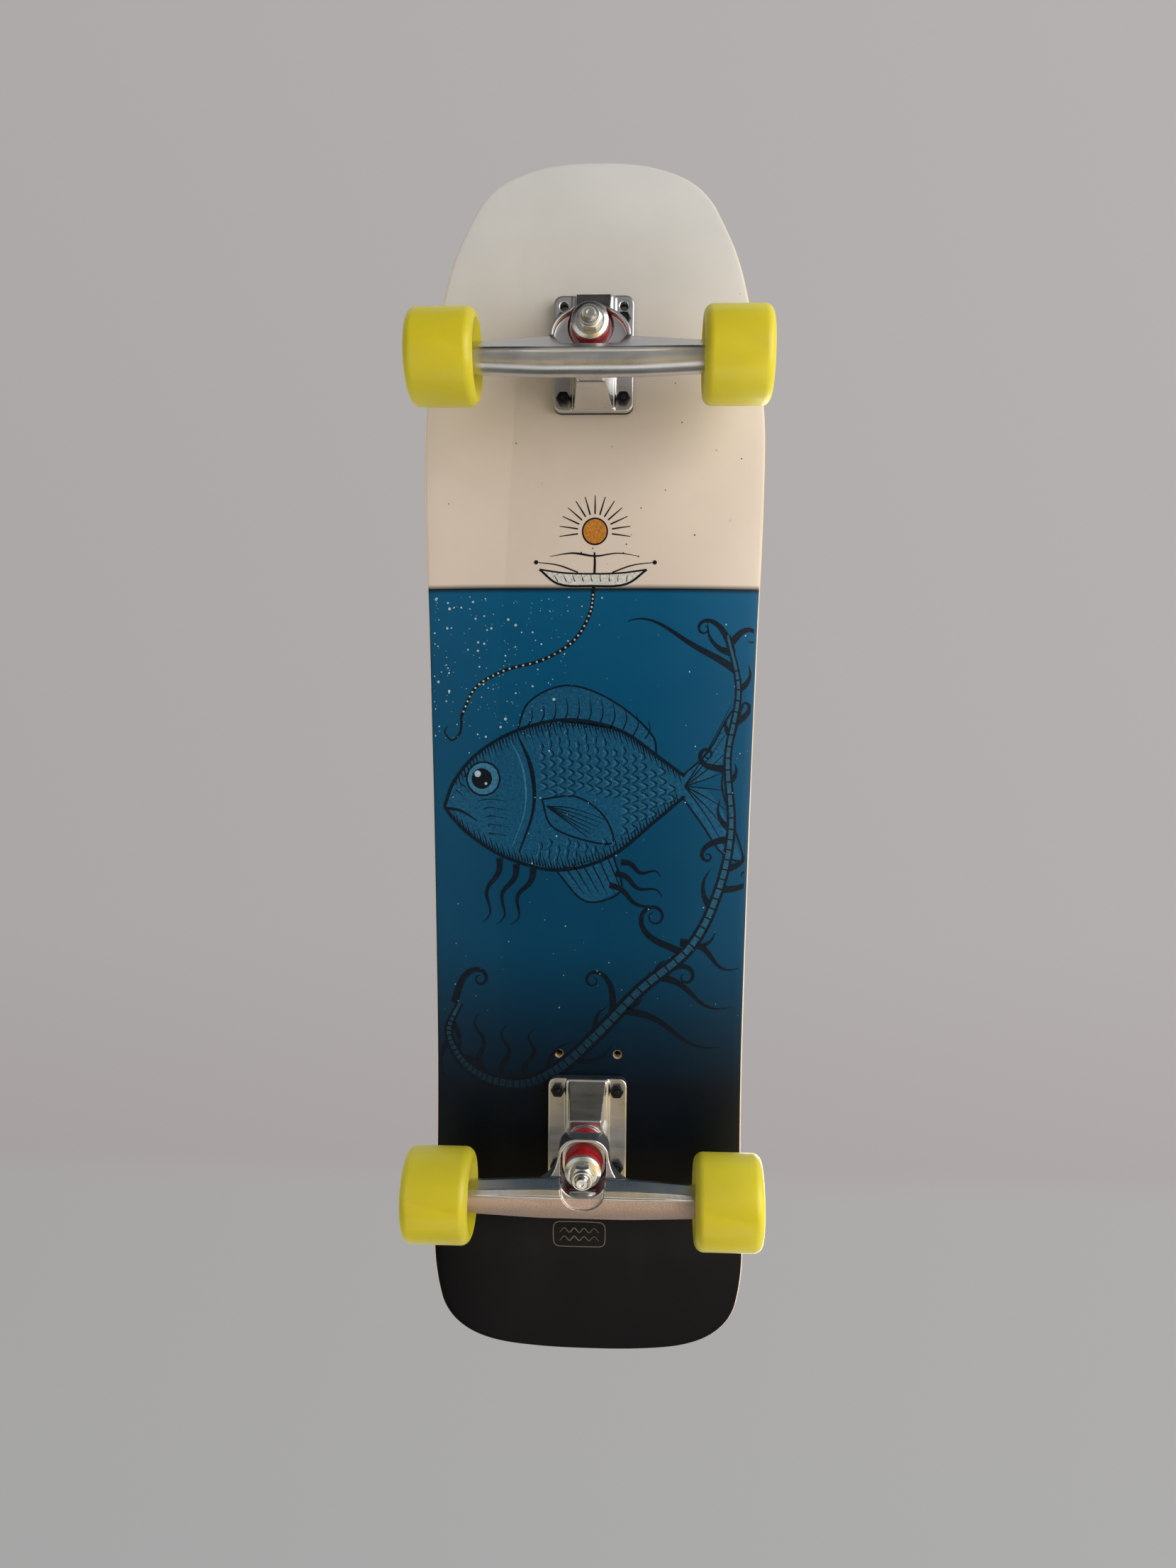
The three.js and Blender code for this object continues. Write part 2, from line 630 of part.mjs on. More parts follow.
function cupWasher(truck) {
  const r = WASHER_RADIUS;
  const low = STACK.roadWasher;
  const [lip, high] = [low - 1.6, low + 1.8];
  const profile = [
    [KINGPIN_BORE, low], [r - 1.7, low], [r - 1.1, lip], [r, lip], [r, low + 0.6], [r - 2.6, high],
    [KINGPIN_BORE, high], [KINGPIN_BORE, low],
  ];
  return solid(onKingpin(truck, turned(profile, ROUND.washer)));
}

// A bushing from its radii at the bottom, the waist and the top.
function bushing(truck, [low, high], [foot, waist, top]) {
  const profile = [
    [BUSHING_BORE, low], [foot - 0.8, low], [foot, low + 0.8], [waist, (low + high) / 2],
    [top, high - 0.8], [top - 0.8, high], [BUSHING_BORE, high], [BUSHING_BORE, low],
  ];
  return solid(onKingpin(truck, turned(profile, ROUND.bushing)));
}

function pivotCup(truck) {
  const r = PIVOT_RADIUS + GAP;
  const outside = PIVOT_CUP;
  const profile = [[0, -5.9], [outside - 0.8, -5.9], [outside, -5.1], [outside, 1.8], [r + 0.5, 1.8], [r, 0]];
  for (let i = 3; i >= 0; i--) {
    const a = (i * Math.PI) / 8;
    profile.push([r * Math.sin(a), -r * Math.cos(a)]);
  }
  return solid(onSteeringAxis(truck, turned(profile, ROUND.kingpin)));
}

// ---------------------------------------------------------------- wheels and what turns with them
// These are drawn about +z from the middle of the board outwards, then laid along x.

function wheelProfile() {
  const [inner, outer] = [WHEEL_INNER_FACE, WHEEL_OUTER_FACE];
  const [R, lip, round] = [WHEEL_RADIUS, WHEEL_LIP_RADIUS, WHEEL_EDGE_ROUND];
  const seatInner = BEARING_INNER_AT;
  const seatOuter = seatInner + 2 * BEARING.width + BEARING_SPACER.length;
  const seat = BEARING.outside + RUNNING_GAP + 0.02;
  const shoulder = 9;
  const edge = [];
  for (let i = 0; i <= 2; i++) {
    const a = (i * Math.PI) / 4;
    edge.push([R - round * (1 - Math.sin(a)), round * (1 - Math.cos(a))]);
  }
  return [
    [lip, inner + 0.4],
    ...edge.map(([r, h]) => [r, inner + h]),
    ...edge.reverse().map(([r, h]) => [r, outer - h]),
    [lip, outer - 0.4],
    [18.2, seatOuter - 0.4],
    [seat, seatOuter - 0.4],
    [seat, seatOuter - BEARING.width],
    [shoulder, seatOuter - BEARING.width],
    [shoulder, seatInner + BEARING.width],
    [seat, seatInner + BEARING.width],
    [seat, seatInner + 0.4],
    [18.2, seatInner + 0.4],
    [lip, inner + 0.4],
  ];
}

// ---------------------------------------------------------------- the assembly

const board = new THREE.Group();

function addNode(parent, name, made, finish) {
  const mesh = new THREE.Mesh(geometryOf(made), new THREE.MeshStandardMaterial(FINISH[finish]));
  mesh.name = name;
  parent.add(mesh);
  return mesh;
}

function addWheelSet(parent, truck, side, label) {
  const lay = (geometry) => geometry.rotateY((side * Math.PI) / 2).translate(0, truck.axle, AXLE_HEIGHT);
  const bearing = (low) =>
    solid(lay(ring(BEARING.bore, BEARING.outside, low, low + BEARING.width, ROUND.bearing)));
  const name = `${truck.name}_${label}`;
  const first = BEARING_INNER_AT;
  const second = first + BEARING.width + BEARING_SPACER.length;
  const nutFrom = second + BEARING.width + SPEED_WASHER;
  addNode(parent, `${name}_wheel`, solid(lay(turned(wheelProfile(), ROUND.wheel))), "urethane");
  addNode(parent, `${name}_inner_bearing`, bearing(first), "steel");
  addNode(parent, `${name}_outer_bearing`, bearing(second), "steel");
  const { bore, outside } = BEARING_SPACER;
  const spacer = ring(bore, outside, first + BEARING.width + RUNNING_GAP, second - RUNNING_GAP, ROUND.small);
  addNode(parent, `${name}_bearing_spacer`, solid(lay(spacer)), "steel");
  const axleNut = geometryOf(nut(AXLE_NUT, nutFrom));
  addNode(parent, `${name}_axle_nut`, solid(lay(axleNut)), "zinc");
}

// A countersunk bolt from the grip tape's side, through the deck, the riser pad and the flange.
function bolt() {
  const { radius, depth } = BOLT_HEAD;
  const low = -DECK_THICKNESS - 1;
  const profile = [
    [0, low], [radius, low], [radius, low + 0.5], [BOLT_RADIUS, low + depth], [BOLT_RADIUS, BOLT_TIP],
    [0, BOLT_TIP],
  ];
  return turned(profile, ROUND.small);
}

function addTruck(truck, makeBaseplate, makeHanger) {
  const group = new THREE.Group();
  group.position.y = truck.innerRow;
  if (truck.towardsEnd < 0) group.rotation.z = Math.PI;
  board.add(group);
  const n = truck.name;
  const boardside = [STACK.washer + GAP, STACK.web - GAP];
  const roadside = [STACK.webTop + GAP, STACK.roadWasher - GAP];
  const topNut = geometryOf(nut(KINGPIN_NUT, STACK.nut));
  addNode(group, `${n}_riser_pad`, makeRiser(), "rubber");
  addNode(group, `${n}_baseplate`, makeBaseplate(), "cast");
  addNode(group, `${n}_hanger`, makeHanger(), "cast");
  addNode(group, `${n}_kingpin`, makeKingpin(truck), "zinc");
  addNode(group, `${n}_boardside_washer`, flatWasher(truck), "zinc");
  addNode(group, `${n}_boardside_bushing`, bushing(truck, boardside, BOARDSIDE_RADII), "red");
  addNode(group, `${n}_roadside_bushing`, bushing(truck, roadside, ROADSIDE_RADII), "red");
  addNode(group, `${n}_roadside_washer`, cupWasher(truck), "zinc");
  addNode(group, `${n}_kingpin_nut`, solid(onKingpin(truck, topNut)), "zinc");
  addNode(group, `${n}_pivot_cup`, pivotCup(truck), "nylon");
  addNode(group, `${n}_axle`, alongAxle(truck, AXLE_RADIUS, AXLE_HALF), "steel");
  // a turned group swaps its sides, so that left and right stay the rider's
  for (const side of [-1, 1]) {
    const rider = side * truck.towardsEnd;
    addWheelSet(group, truck, side, rider > 0 ? "left" : "right");
  }
  BOLT_ROWS.forEach((y, row) => {
    for (const side of [-1, 1]) {
      const rider = side * truck.towardsEnd;
      const label = `${n}_${row === 0 ? "inner" : "outer"}_${rider > 0 ? "left" : "right"}`;
      const x = side * BOLT_X;
      const lock = geometryOf(nut(LOCK_NUT, FLANGE_TOP + GAP));
      addNode(group, `${label}_bolt`, solid(bolt().translate(x, y, 0)), "black");
      addNode(group, `${label}_lock_nut`, solid(lock.translate(x, y, 0)), "black");
    }
  });
}

addNode(board, "deck", makeDeck(), "maple");
addNode(board, "grip_tape", makeGrip(), "grit");
addTruck(FRONT, makeFrontBaseplate, makeFrontHanger);
addTruck(REAR, makeRearBaseplate, makeRearHanger);

board.rotation.y = Math.PI;
board.position.z = AXLE_HEIGHT + WHEEL_RADIUS;

const skateboard = new THREE.Group();
skateboard.add(board);

export default skateboard;
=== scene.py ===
"""The looks of a cruiser skateboard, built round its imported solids.

Shapes are drawn in millimetres, belly up: x is to the left of a rider, y runs to the nose, and z is the
height over the flat underside of the deck. BELLY turns them onto their wheels, in metres."""

import math
import random

import bmesh
import bpy
import numpy as np
from mathutils import Matrix, Vector


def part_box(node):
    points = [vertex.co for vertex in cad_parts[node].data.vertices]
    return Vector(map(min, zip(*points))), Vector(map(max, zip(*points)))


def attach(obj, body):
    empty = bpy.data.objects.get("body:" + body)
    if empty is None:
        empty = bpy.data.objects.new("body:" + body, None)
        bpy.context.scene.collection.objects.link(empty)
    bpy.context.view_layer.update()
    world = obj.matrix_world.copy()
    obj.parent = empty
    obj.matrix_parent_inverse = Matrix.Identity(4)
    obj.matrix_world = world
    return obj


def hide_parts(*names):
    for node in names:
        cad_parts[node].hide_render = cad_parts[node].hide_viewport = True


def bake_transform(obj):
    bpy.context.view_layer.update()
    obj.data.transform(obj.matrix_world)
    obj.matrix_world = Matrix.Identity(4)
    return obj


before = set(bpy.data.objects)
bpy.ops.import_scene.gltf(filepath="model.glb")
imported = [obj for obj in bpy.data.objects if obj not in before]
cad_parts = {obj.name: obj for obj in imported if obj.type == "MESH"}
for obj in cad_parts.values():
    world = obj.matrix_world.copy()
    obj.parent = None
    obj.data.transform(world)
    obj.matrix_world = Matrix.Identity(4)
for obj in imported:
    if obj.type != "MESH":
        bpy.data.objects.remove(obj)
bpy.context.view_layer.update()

# ---- sizes

MM = 0.001
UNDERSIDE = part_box("front_riser_pad")[1].z / MM + 0.3  # over the ground
BELLY = Matrix(((-MM, 0, 0, 0), (0, MM, 0, 0), (0, 0, -MM, UNDERSIDE * MM), (0, 0, 0, 1)))


def middle(piece, axis):
    """The middle of a CAD node's box along one axis, in mm."""
    return sum(getattr(corner, axis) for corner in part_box(piece)) / 2 / MM


def shift(x, y, z=0):
    return Matrix.Translation((x, y, z))


DECK_THICKNESS = 11
EDGE_ROUND = 2.9
CONCAVE = {"height": 7, "flat": 30, "span": 90, "power": 2.3}  # within 0.3 mm of the CAD deck
TAIL_KICK = {"from": -300, "full": -350, "slope": math.tan(math.radians(18))}
NOSE_KICK = {"from": 335, "full": 375, "slope": math.tan(math.radians(12))}
GRIP = {"low": 11.05, "high": 12.15, "border": 2.7, "hole": 4.85}

AXLE_HEIGHT = UNDERSIDE - middle("front_left_wheel", "z")
HANGER_HALF = 82.5
AXLE_RADIUS = 3.95
AXLE_BORE = 4.3
BEARING = {"bore": 4.05, "outside": 11, "width": 7, "inner_at": 83.5, "spacer": 10}
RACES = (6.1, 9.3)  # how far out the inner race ends and the outer one begins
BOLT_X = 20.64
HOLE_ROWS = (0, -53.98, -63.5)
BOLT_ROWS = (0, -53.98)
BOLT_HOLE = 2.75
SPARE_ROWS = (23.3, -30.7)

RISER = 3.2
FLANGE_TOP = 8.5
PLATE = {"half": 27.5, "inner": 8.3, "outer": -70.7, "corner": 5.5}
STACK = {"web": 16, "web_top": 24.3, "road_washer": 38.4, "nut": 40.4, "tip": 52.6}  # up the kingpin
KINGPIN_RADIUS = 4.7
WASHER_RADIUS = 12.05
BUSHING_RADIUS = 12.9
PIVOT_CUP = 6.2
SCREW = {"radius": 2.4, "head": 4.6, "low": -12.0, "tip": 14.2, "socket": 3.2}


class Truck:
    """Where one truck's pieces go. Its own y = 0 is its inner bolt row, and -y is the board's end."""

    def __init__(self, name, seat, lean, pivot, steer, yoke_side, ahead):
        self.name, self.seat, self.lean, self.pivot = name, seat, lean, pivot
        self.yoke_side, self.ahead = yoke_side, ahead
        self.inner_row = middle(f"{name}_inner_left_bolt", "y")
        self.axle = ahead * (middle(f"{name}_axle", "y") - self.inner_row)
        turn = Matrix.Identity(4) if ahead > 0 else Matrix.Rotation(math.pi, 4, "Z")
        self.place = BELLY @ shift(0, self.inner_row) @ turn
        self.on_kingpin = shift(0, *seat) @ Matrix.Rotation(math.radians(lean), 4, "X")
        slope = math.radians(steer)
        tilt = math.atan2(-yoke_side * math.cos(slope), yoke_side * math.sin(slope))
        self.on_steering = shift(0, *pivot) @ Matrix.Rotation(tilt, 4, "X")

    def along_axle(self, side=1):
        """Where z runs along the axle, out to one side (1) or to the other (-1)."""
        return shift(0, self.axle, AXLE_HEIGHT) @ Matrix.Rotation(side * math.pi / 2, 4, "Y")

    def row_at(self, along):
        return self.inner_row + self.ahead * along


REAR = Truck("rear", seat=(-29.6, 28), lean=12, pivot=(-60.7, 24), steer=39, yoke_side=1, ahead=1)
FRONT = Truck("front", seat=(-33, 27.5), lean=0, pivot=(-10.5, 46.5), steer=20, yoke_side=-1, ahead=-1)

# ---- making and changing meshes


def mesh_object(name, points, faces):
    mesh = bpy.data.meshes.new(name)
    mesh.from_pydata([tuple(p) for p in points], [], faces)
    made = bpy.data.objects.new(name, mesh)
    bpy.context.collection.objects.link(made)
    return made


def tidied(made, weld=1e-4, facing_up=False):
    """Corners that coincide become one, and the faces point out, or all of them up."""
    work = bmesh.new()
    work.from_mesh(made.data)
    bmesh.ops.remove_doubles(work, verts=work.verts, dist=weld)
    if facing_up:
        for face in work.faces:
            if face.normal.z < 0:
                face.normal_flip()
    else:
        bmesh.ops.recalc_face_normals(work, faces=work.faces)
    work.to_mesh(made.data)
    work.free()
    return made


def moved(made, matrix):
    made.data.transform(matrix)
    return made


def settled(made):
    """The object's modifiers become its mesh."""
    graph = bpy.context.evaluated_depsgraph_get()
    mesh = bpy.data.meshes.new_from_object(made.evaluated_get(graph))
    made.modifiers.clear()
    made.data = mesh
    return made


def combined(base, operation, *tools):
    for tool in tools:
        modifier = base.modifiers.new("tool", "BOOLEAN")
        modifier.operation = operation
        modifier.solver = "EXACT"
        modifier.object = tool
    settled(base)
    for tool in tools:
        bpy.data.objects.remove(tool)
    return base


def join(base, *others):
    return combined(base, "UNION", *others)


def cut(base, *tools):
    return combined(base, "DIFFERENCE", *tools)


def shared(base, tool):
    return combined(base, "INTERSECT", tool)


def cast(made, grain):
    """Softens every edge and inner corner, as a casting's are."""
    skin = made.modifiers.new("skin", "REMESH")
    skin.mode = "VOXEL"
    skin.voxel_size = grain
    soften = made.modifiers.new("soften", "SMOOTH")
    soften.factor = 0.5
    soften.iterations = 5
    return settled(made)


def bevelled(made, width):
    bevel = made.modifiers.new("bevel", "BEVEL")
    bevel.width = width
    bevel.segments = 2
    bevel.limit_method = "ANGLE"
    bevel.angle_limit = math.radians(32)
    return settled(made)


def arc(x, y, radii, start, end, steps):
    """Points on an ellipse's arc, from one angle to another in degrees."""
    angles = np.radians(np.linspace(start, end, steps + 1))
    return [(x + radii[0] * math.cos(a), y + radii[1] * math.sin(a)) for a in angles]


def rounded_rectangle(half, low, high, corner, steps=10):
    x, bottom, top = half - corner, low + corner, high - corner
    made = []
    for k, (cx, cy) in enumerate(((x, bottom), (x, top), (-x, top), (-x, bottom))):
        made += arc(cx, cy, (corner, corner), 90 * k - 90, 90 * k, steps)
    return made


def softened(points, radius):
    """A line whose inner corners are rounded; its two ends stay."""
    made = [points[0]]
    for before, corner, after in zip(points, points[1:], points[2:]):
        b, c, a = (np.array(p, float) for p in (before, corner, after))
        to_b, to_a = b - c, a - c
        reach = min(radius, 0.48 * np.linalg.norm(to_b), 0.48 * np.linalg.norm(to_a))
        start = c + to_b / np.linalg.norm(to_b) * reach
        end = c + to_a / np.linalg.norm(to_a) * reach
        for t in (0, 0.25, 0.5, 0.75, 1):
            made.append(tuple((1 - t) ** 2 * start + 2 * t * (1 - t) * c + t**2 * end))
    return made + [points[-1]]


def prism(outline, low, high):
    count = len(outline)
    points = [(x, y, z) for z in (low, high) for x, y in outline]
    sides = [(i, (i + 1) % count, (i + 1) % count + count, i + count) for i in range(count)]
    faces = [tuple(range(count))[::-1], tuple(range(count, 2 * count)), *sides]
    return tidied(mesh_object("prism", points, faces))


def side_profile(outline, half):
    """An outline of (y, z), as thick to the left as to the right."""
    made = prism(outline, -half, half)
    turn = Matrix(((0, 0, 1, 0), (1, 0, 0, 0), (0, 1, 0, 0), (0, 0, 0, 1)))
    return moved(made, turn)


def turned(profile, sides=72):
    """A shape of revolution about z; a profile that ends where it starts is a ring."""
    closed = profile[0] == profile[-1]
    rows = profile[:-1] if closed else profile
    angles = np.linspace(0, 2 * math.pi, sides, endpoint=False)
    points = [(r * math.cos(a), r * math.sin(a), h) for r, h in rows for a in angles]
    faces = []
    for i in range(len(rows) if closed else len(rows) - 1):
        j = (i + 1) % len(rows)
        for k in range(sides):
            n = (k + 1) % sides
            faces.append((i * sides + k, i * sides + n, j * sides + n, j * sides + k))
    return tidied(mesh_object("turned", points, faces))


def rod(radius, low, high, sides=64):
    return turned([(0, low), (radius, low), (radius, high), (0, high)], sides)


def ring(inside, outside, low, high, soften=0.3, sides=72):
    corners = [(inside, low), (outside, low), (outside, high), (inside, high)]
    start = ((inside + outside) / 2, low)
    return turned(softened([start, *corners[1:], corners[0], start], soften), sides)


def loft(sections):
    count = len(sections[0])
    points = [p for section in sections for p in section]
    faces = [tuple(range(count))[::-1], tuple(range(len(points) - count, len(points)))]
    for s in range(len(sections) - 1):
        for i in range(count):
            a, b = s * count + i, s * count + (i + 1) % count
            faces.append((a, b, b + count, a + count))
    return tidied(mesh_object("loft", points, faces))


def through(points, steps, closed=False):
    """A smooth line through points: a centripetal Catmull-Rom spline."""
    p = [np.array(q, float) for q in points]
    if closed:
        p = [p[-1], *p, p[0], p[1]]
    else:
        p = [2 * p[0] - p[1], *p, 2 * p[-1] - p[-2]]
    made = []
    for a, b, c, d in zip(p, p[1:], p[2:], p[3:]):
        ab, bc, cd = (max(np.linalg.norm(v), 1e-9) ** 0.5 for v in (b - a, c - b, d - c))
        start = ((b - a) / ab - (c - a) / (ab + bc) + (c - b) / bc) * bc
        end = ((c - b) / bc - (d - b) / (bc + cd) + (d - c) / cd) * bc
        for t in np.arange(steps) / steps:
            made.append(
                (2 * t**3 - 3 * t**2 + 1) * b
                + (t**3 - 2 * t**2 + t) * start
                + (3 * t**2 - 2 * t**3) * c
                + (t**3 - t**2) * end
            )
    if not closed:
        made.append(p[-2])
    return [tuple(q) for q in made]


# ---- materials


def linear(red, green, blue):
    """A colour of 0 to 255 as the light that a shader wants."""
    light = [((c / 255 + 0.055) / 1.055) ** 2.4 if c > 10 else c / 255 / 12.92 for c in (red, green, blue)]
    return (*light, 1)


def dimmed(tone, factor, lift=0.0):
    return (*(min(1, factor * c + lift) for c in tone[:3]), 1)


class Nodes:
    """One node tree. Each method adds a node and hands back its output."""

    def __init__(self, tree):
        self.tree = tree

    def feed(self, socket, value):
        if isinstance(value, bpy.types.NodeSocket):
            self.tree.links.new(value, socket)
        else:
            socket.default_value = value

    def node(self, kind, inputs=None, **settings):
        made = self.tree.nodes.new(kind)
        for key, value in settings.items():
            setattr(made, key, value)
        for key, value in (inputs or {}).items():
            self.feed(made.inputs[key], value)
        return made

    def ramp(self, factor, stops):
        """A ramp through (position, colour or grey level)."""
        made = self.node("ShaderNodeValToRGB", {"Fac": factor})
        while len(made.color_ramp.elements) < len(stops):
            made.color_ramp.elements.new(1)
        for element, (position, colour) in zip(made.color_ramp.elements, stops):
            element.position = position
            element.color = colour if isinstance(colour, tuple) else (colour, colour, colour, 1)
        return made.outputs["Color"]

    def mixed(self, factor, first, second, blend="MIX"):
        inputs = {0: factor, 6: first, 7: second}
        return self.node("ShaderNodeMix", inputs, data_type="RGBA", blend_type=blend).outputs[2]

    def spread(self, factor, low, high, start=0.0, end=1.0):
        """Factors from `start` to `end` become values from `low` to `high`."""
        inputs = {"Value": factor, "From Min": start, "From Max": end, "To Min": low, "To Max": high}
        return self.node("ShaderNodeMapRange", inputs).outputs["Result"]

    def calculated(self, operation, first, second):
        return self.node("ShaderNodeMath", {0: first, 1: second}, operation=operation).outputs[0]

    def part_of(self, vector, letter):
        return self.node("ShaderNodeSeparateXYZ", {"Vector": vector}).outputs[letter]


class Surface(Nodes):
    """A material, with its shader and the place of each of its points on the object."""

    def __init__(self, name, **inputs):
        self.material = bpy.data.materials.new(name)
        self.material.use_nodes = True
        super().__init__(self.material.node_tree)
        self.shader = self.tree.nodes["Principled BSDF"]
        self.set(**inputs)
        self.where = self.node("ShaderNodeTexCoord").outputs["Object"]

    def set(self, **inputs):
        for key, value in inputs.items():
            self.feed(self.shader.inputs[key.replace("_", " ").title().replace("Ior", "IOR")], value)

    def stretched(self, scale):
        return self.node("ShaderNodeMapping", {"Vector": self.where, "Scale": scale}).outputs["Vector"]

    def noise(self, scale, detail, rough=0.5, stretch=None):
        where = self.stretched(stretch) if stretch else self.where
        inputs = {"Vector": where, "Scale": scale, "Detail": detail, "Roughness": rough}
        return self.node("ShaderNodeTexNoise", inputs).outputs["Fac"]

    def attribute(self, name):
        return self.node("ShaderNodeAttribute", attribute_name=name).outputs["Fac"]

    def bump(self, height, distance, strength, under=None):
        inputs = {"Height": height, "Distance": distance, "Strength": strength}
        if under is not None:
            inputs["Normal"] = under
        made = self.node("ShaderNodeBump", inputs).outputs["Normal"]
        self.set(normal=made)
        return made


SEA_REACH = 430  # half of the deck's length
SEA_STOPS = [  # tones of the sea and the sky, each after its y from the middle of the deck
    (-430, 10, 9, 10), (-292, 8, 8, 9), (-262, 5, 9, 14), (-225, 2, 13, 25), (-180, 3, 41, 62),
    (-120, 3, 68, 99), (-30, 4, 74, 106), (60, 5, 82, 118), (124.7, 7, 88, 126), (124.9, 6, 7, 8),
    # Painted light: from y 250 to the nose the cream turns cooler and greyer.
    (128, 6, 7, 8), (128.2, 228, 211, 194), (250, 226, 212, 197), (330, 218, 213, 206), (430, 211, 211, 208),
]
PAINT_SHEEN = {"roughness": 0.4, "specular_ior_level": 0.08, "coat_weight": 0.12, "coat_roughness": 0.28}


def painted_maple():
    skin = Surface("painted_maple", **PAINT_SHEEN)
    along = skin.spread(skin.part_of(skin.where, "Y"), 0, 1, -SEA_REACH * MM, SEA_REACH * MM)
    sea = skin.ramp(along, [((y + SEA_REACH) / (2 * SEA_REACH), linear(*tone)) for y, *tone in SEA_STOPS])
    tint = skin.mixed(1.0, sea, skin.spread(skin.noise(9, 4), 0.93, 1.06, 0.3, 0.7), "MULTIPLY")
    speck = skin.spread(skin.noise(170, 2), 0, 0.55, 0.79, 0.83)
    smear = skin.noise(3, 4, stretch=(14, 3, 3))
    skin.set(
        base_color=skin.mixed(speck, tint, (0.02, 0.02, 0.025, 1)),
        roughness=skin.spread(smear, 0.28, 0.46, 0.3, 0.7),
    )
    peel = skin.bump(skin.noise(700, 2), 0.00003, 0.35)
    skin.bump(skin.noise(1, 3, stretch=(900, 24, 300)), 0.00004, 0.3, peel)
    return skin.material


def maple_plies():
    """Seven plies, crossed ones darker, read from how deep a point lies in the deck."""
    skin = Surface("maple_plies", roughness=0.5, coat_weight=0.15, coat_roughness=0.3)
    pale, dark, glue = linear(250, 229, 190), linear(226, 190, 142), linear(176, 132, 88)
    stops = []
    for ply in range(7):
        tone = dark if ply in (1, 5) else pale
        stops += [(ply / 7 + 0.004, tone), ((ply + 0.86) / 7, tone), ((ply + 0.94) / 7, glue)]
    colour = skin.ramp(skin.spread(skin.attribute("depth"), 0, 1, 0, DECK_THICKNESS), stops)
    grain = skin.noise(1, 5, 0.65, stretch=(260, 18, 260))
    skin.set(base_color=skin.mixed(skin.spread(grain, 0.0, 0.5, 0.42, 0.72), colour, linear(201, 158, 112)))
    skin.bump(grain, 0.0001, 0.5)
    return skin.material


def grip_grit():
    skin = Surface("grip_grit")
    worn = skin.spread(skin.noise(7, 5), 0, 1, 0.35, 0.7)
    base = skin.mixed(worn, (0.011, 0.011, 0.012, 1), (0.022, 0.022, 0.022, 1))
    grains = skin.stretched((1800, 1800, 1800))
    glint = skin.node("ShaderNodeTexWhiteNoise", {"Vector": grains}).outputs["Value"]
    bright = skin.spread(glint, 0, 0.1, 0.8, 1)
    skin.set(
        base_color=skin.mixed(bright, base, (0.2, 0.2, 0.2, 1)),
        roughness=skin.spread(glint, 0.92, 0.45, 0.9, 1),
    )
    grit = skin.node("ShaderNodeTexVoronoi", {"Vector": skin.where, "Scale": 1500}).outputs["Distance"]
    skin.bump(skin.noise(3200, 2), 0.0002, 0.6, skin.bump(grit, 0.0004, 0.9))
    return skin.material


def cast_aluminium():
    """Tumbled castings: smooth and bright, and sandy where the mark says so; the beige-pink tint there is a
    painted warm reflection.
    """
    skin = Surface("cast_aluminium", metallic=1.0)
    sand_and_reflection, cloud, grain = skin.attribute("sand_and_reflection"), skin.noise(55, 4), skin.noise(2600, 3, 0.6)
    smooth = skin.mixed(skin.spread(cloud, 0, 1, 0.35, 0.65), linear(204, 205, 208), linear(216, 215, 213))
    # The crust's grain is the casting's own; its beige-pink tones are a painted warm reflection.
    crust_and_reflection_tone = skin.mixed(skin.spread(grain, 0, 1, 0.4, 0.6), linear(176, 152, 138), linear(218, 196, 182))
    drag = skin.noise(1, 2, stretch=(35, 260, 260))
    rough = skin.spread(skin.calculated("ADD", cloud, drag), 0.25, 0.36, 0.7, 1.3)
    rough = skin.calculated("ADD", rough, skin.spread(sand_and_reflection, 0, 0.1))
    skin.set(base_color=skin.mixed(sand_and_reflection, smooth, crust_and_reflection_tone), roughness=rough)
    pits = skin.bump(skin.noise(1100, 2), 0.00003, 0.12)
    skin.bump(skin.calculated("MULTIPLY", grain, sand_and_reflection), 0.0004, 0.7, pits)
    return skin.material


def plated_steel(name, tone, roughness):
    skin = Surface(name, metallic=1.0)
    cloud = skin.noise(110, 3)
    skin.set(
        base_color=skin.mixed(skin.spread(cloud, 0, 1, 0.35, 0.68), tone, dimmed(tone, 0.87)),
        roughness=skin.spread(cloud, roughness - 0.02, roughness + 0.08, 0.3, 0.7),
    )
    skin.bump(skin.noise(2600, 3), 0.00004, 0.35)
    return skin.material


def soft_plastic(name, first, second, cloud, sheen, relief, **inputs):
    """Cast urethane or rubber: two close tones in clouds, a sheen that varies, and a fine relief."""
    skin = Surface(name, **inputs)
    skin.set(
        base_color=skin.mixed(skin.spread(skin.noise(cloud, 3), 0, 1, 0.3, 0.7), first, second),
        roughness=skin.spread(skin.noise(sheen[0], 3), sheen[1], sheen[2], 0.3, 0.7),
    )
    skin.bump(skin.noise(*relief[:2]), relief[2], 0.3)
    return skin.material


def dark_finish(name, tone, roughness, grain, metallic=0.0):
    skin = Surface(name, metallic=metallic)
    cloud = skin.noise(120, 4)
    skin.set(
        base_color=skin.mixed(skin.spread(cloud, 0, 1, 0.35, 0.75), tone, dimmed(tone, 1.9)),
        roughness=skin.spread(cloud, roughness - 0.08, roughness + 0.1, 0.3, 0.7),
    )
    skin.bump(skin.noise(grain, 3), 0.00008, 0.4)
    return skin.material


def printed(name, tone, fade_tone):
    """Printing ink. Towards the tail it sinks into the dark with the painted sea."""
    skin = Surface(name, **PAINT_SHEEN)
    stipple = skin.noise(520, 3, 0.7)
    ink = skin.mixed(skin.spread(stipple, 0, 0.6, 0.5, 0.66), tone, dimmed(tone, 1.5, 0.008))
    ink = skin.mixed(skin.spread(stipple, 0.7, 0, 0.34, 0.44), ink, dimmed(tone, 0.42))
    sunk = skin.spread(skin.part_of(skin.where, "Y"), 1, 0, -245 * MM, -110 * MM)
    skin.set(base_color=skin.mixed(sunk, ink, fade_tone or tone))
    skin.bump(skin.noise(700, 2), 0.00003, 0.3)
    return skin.material


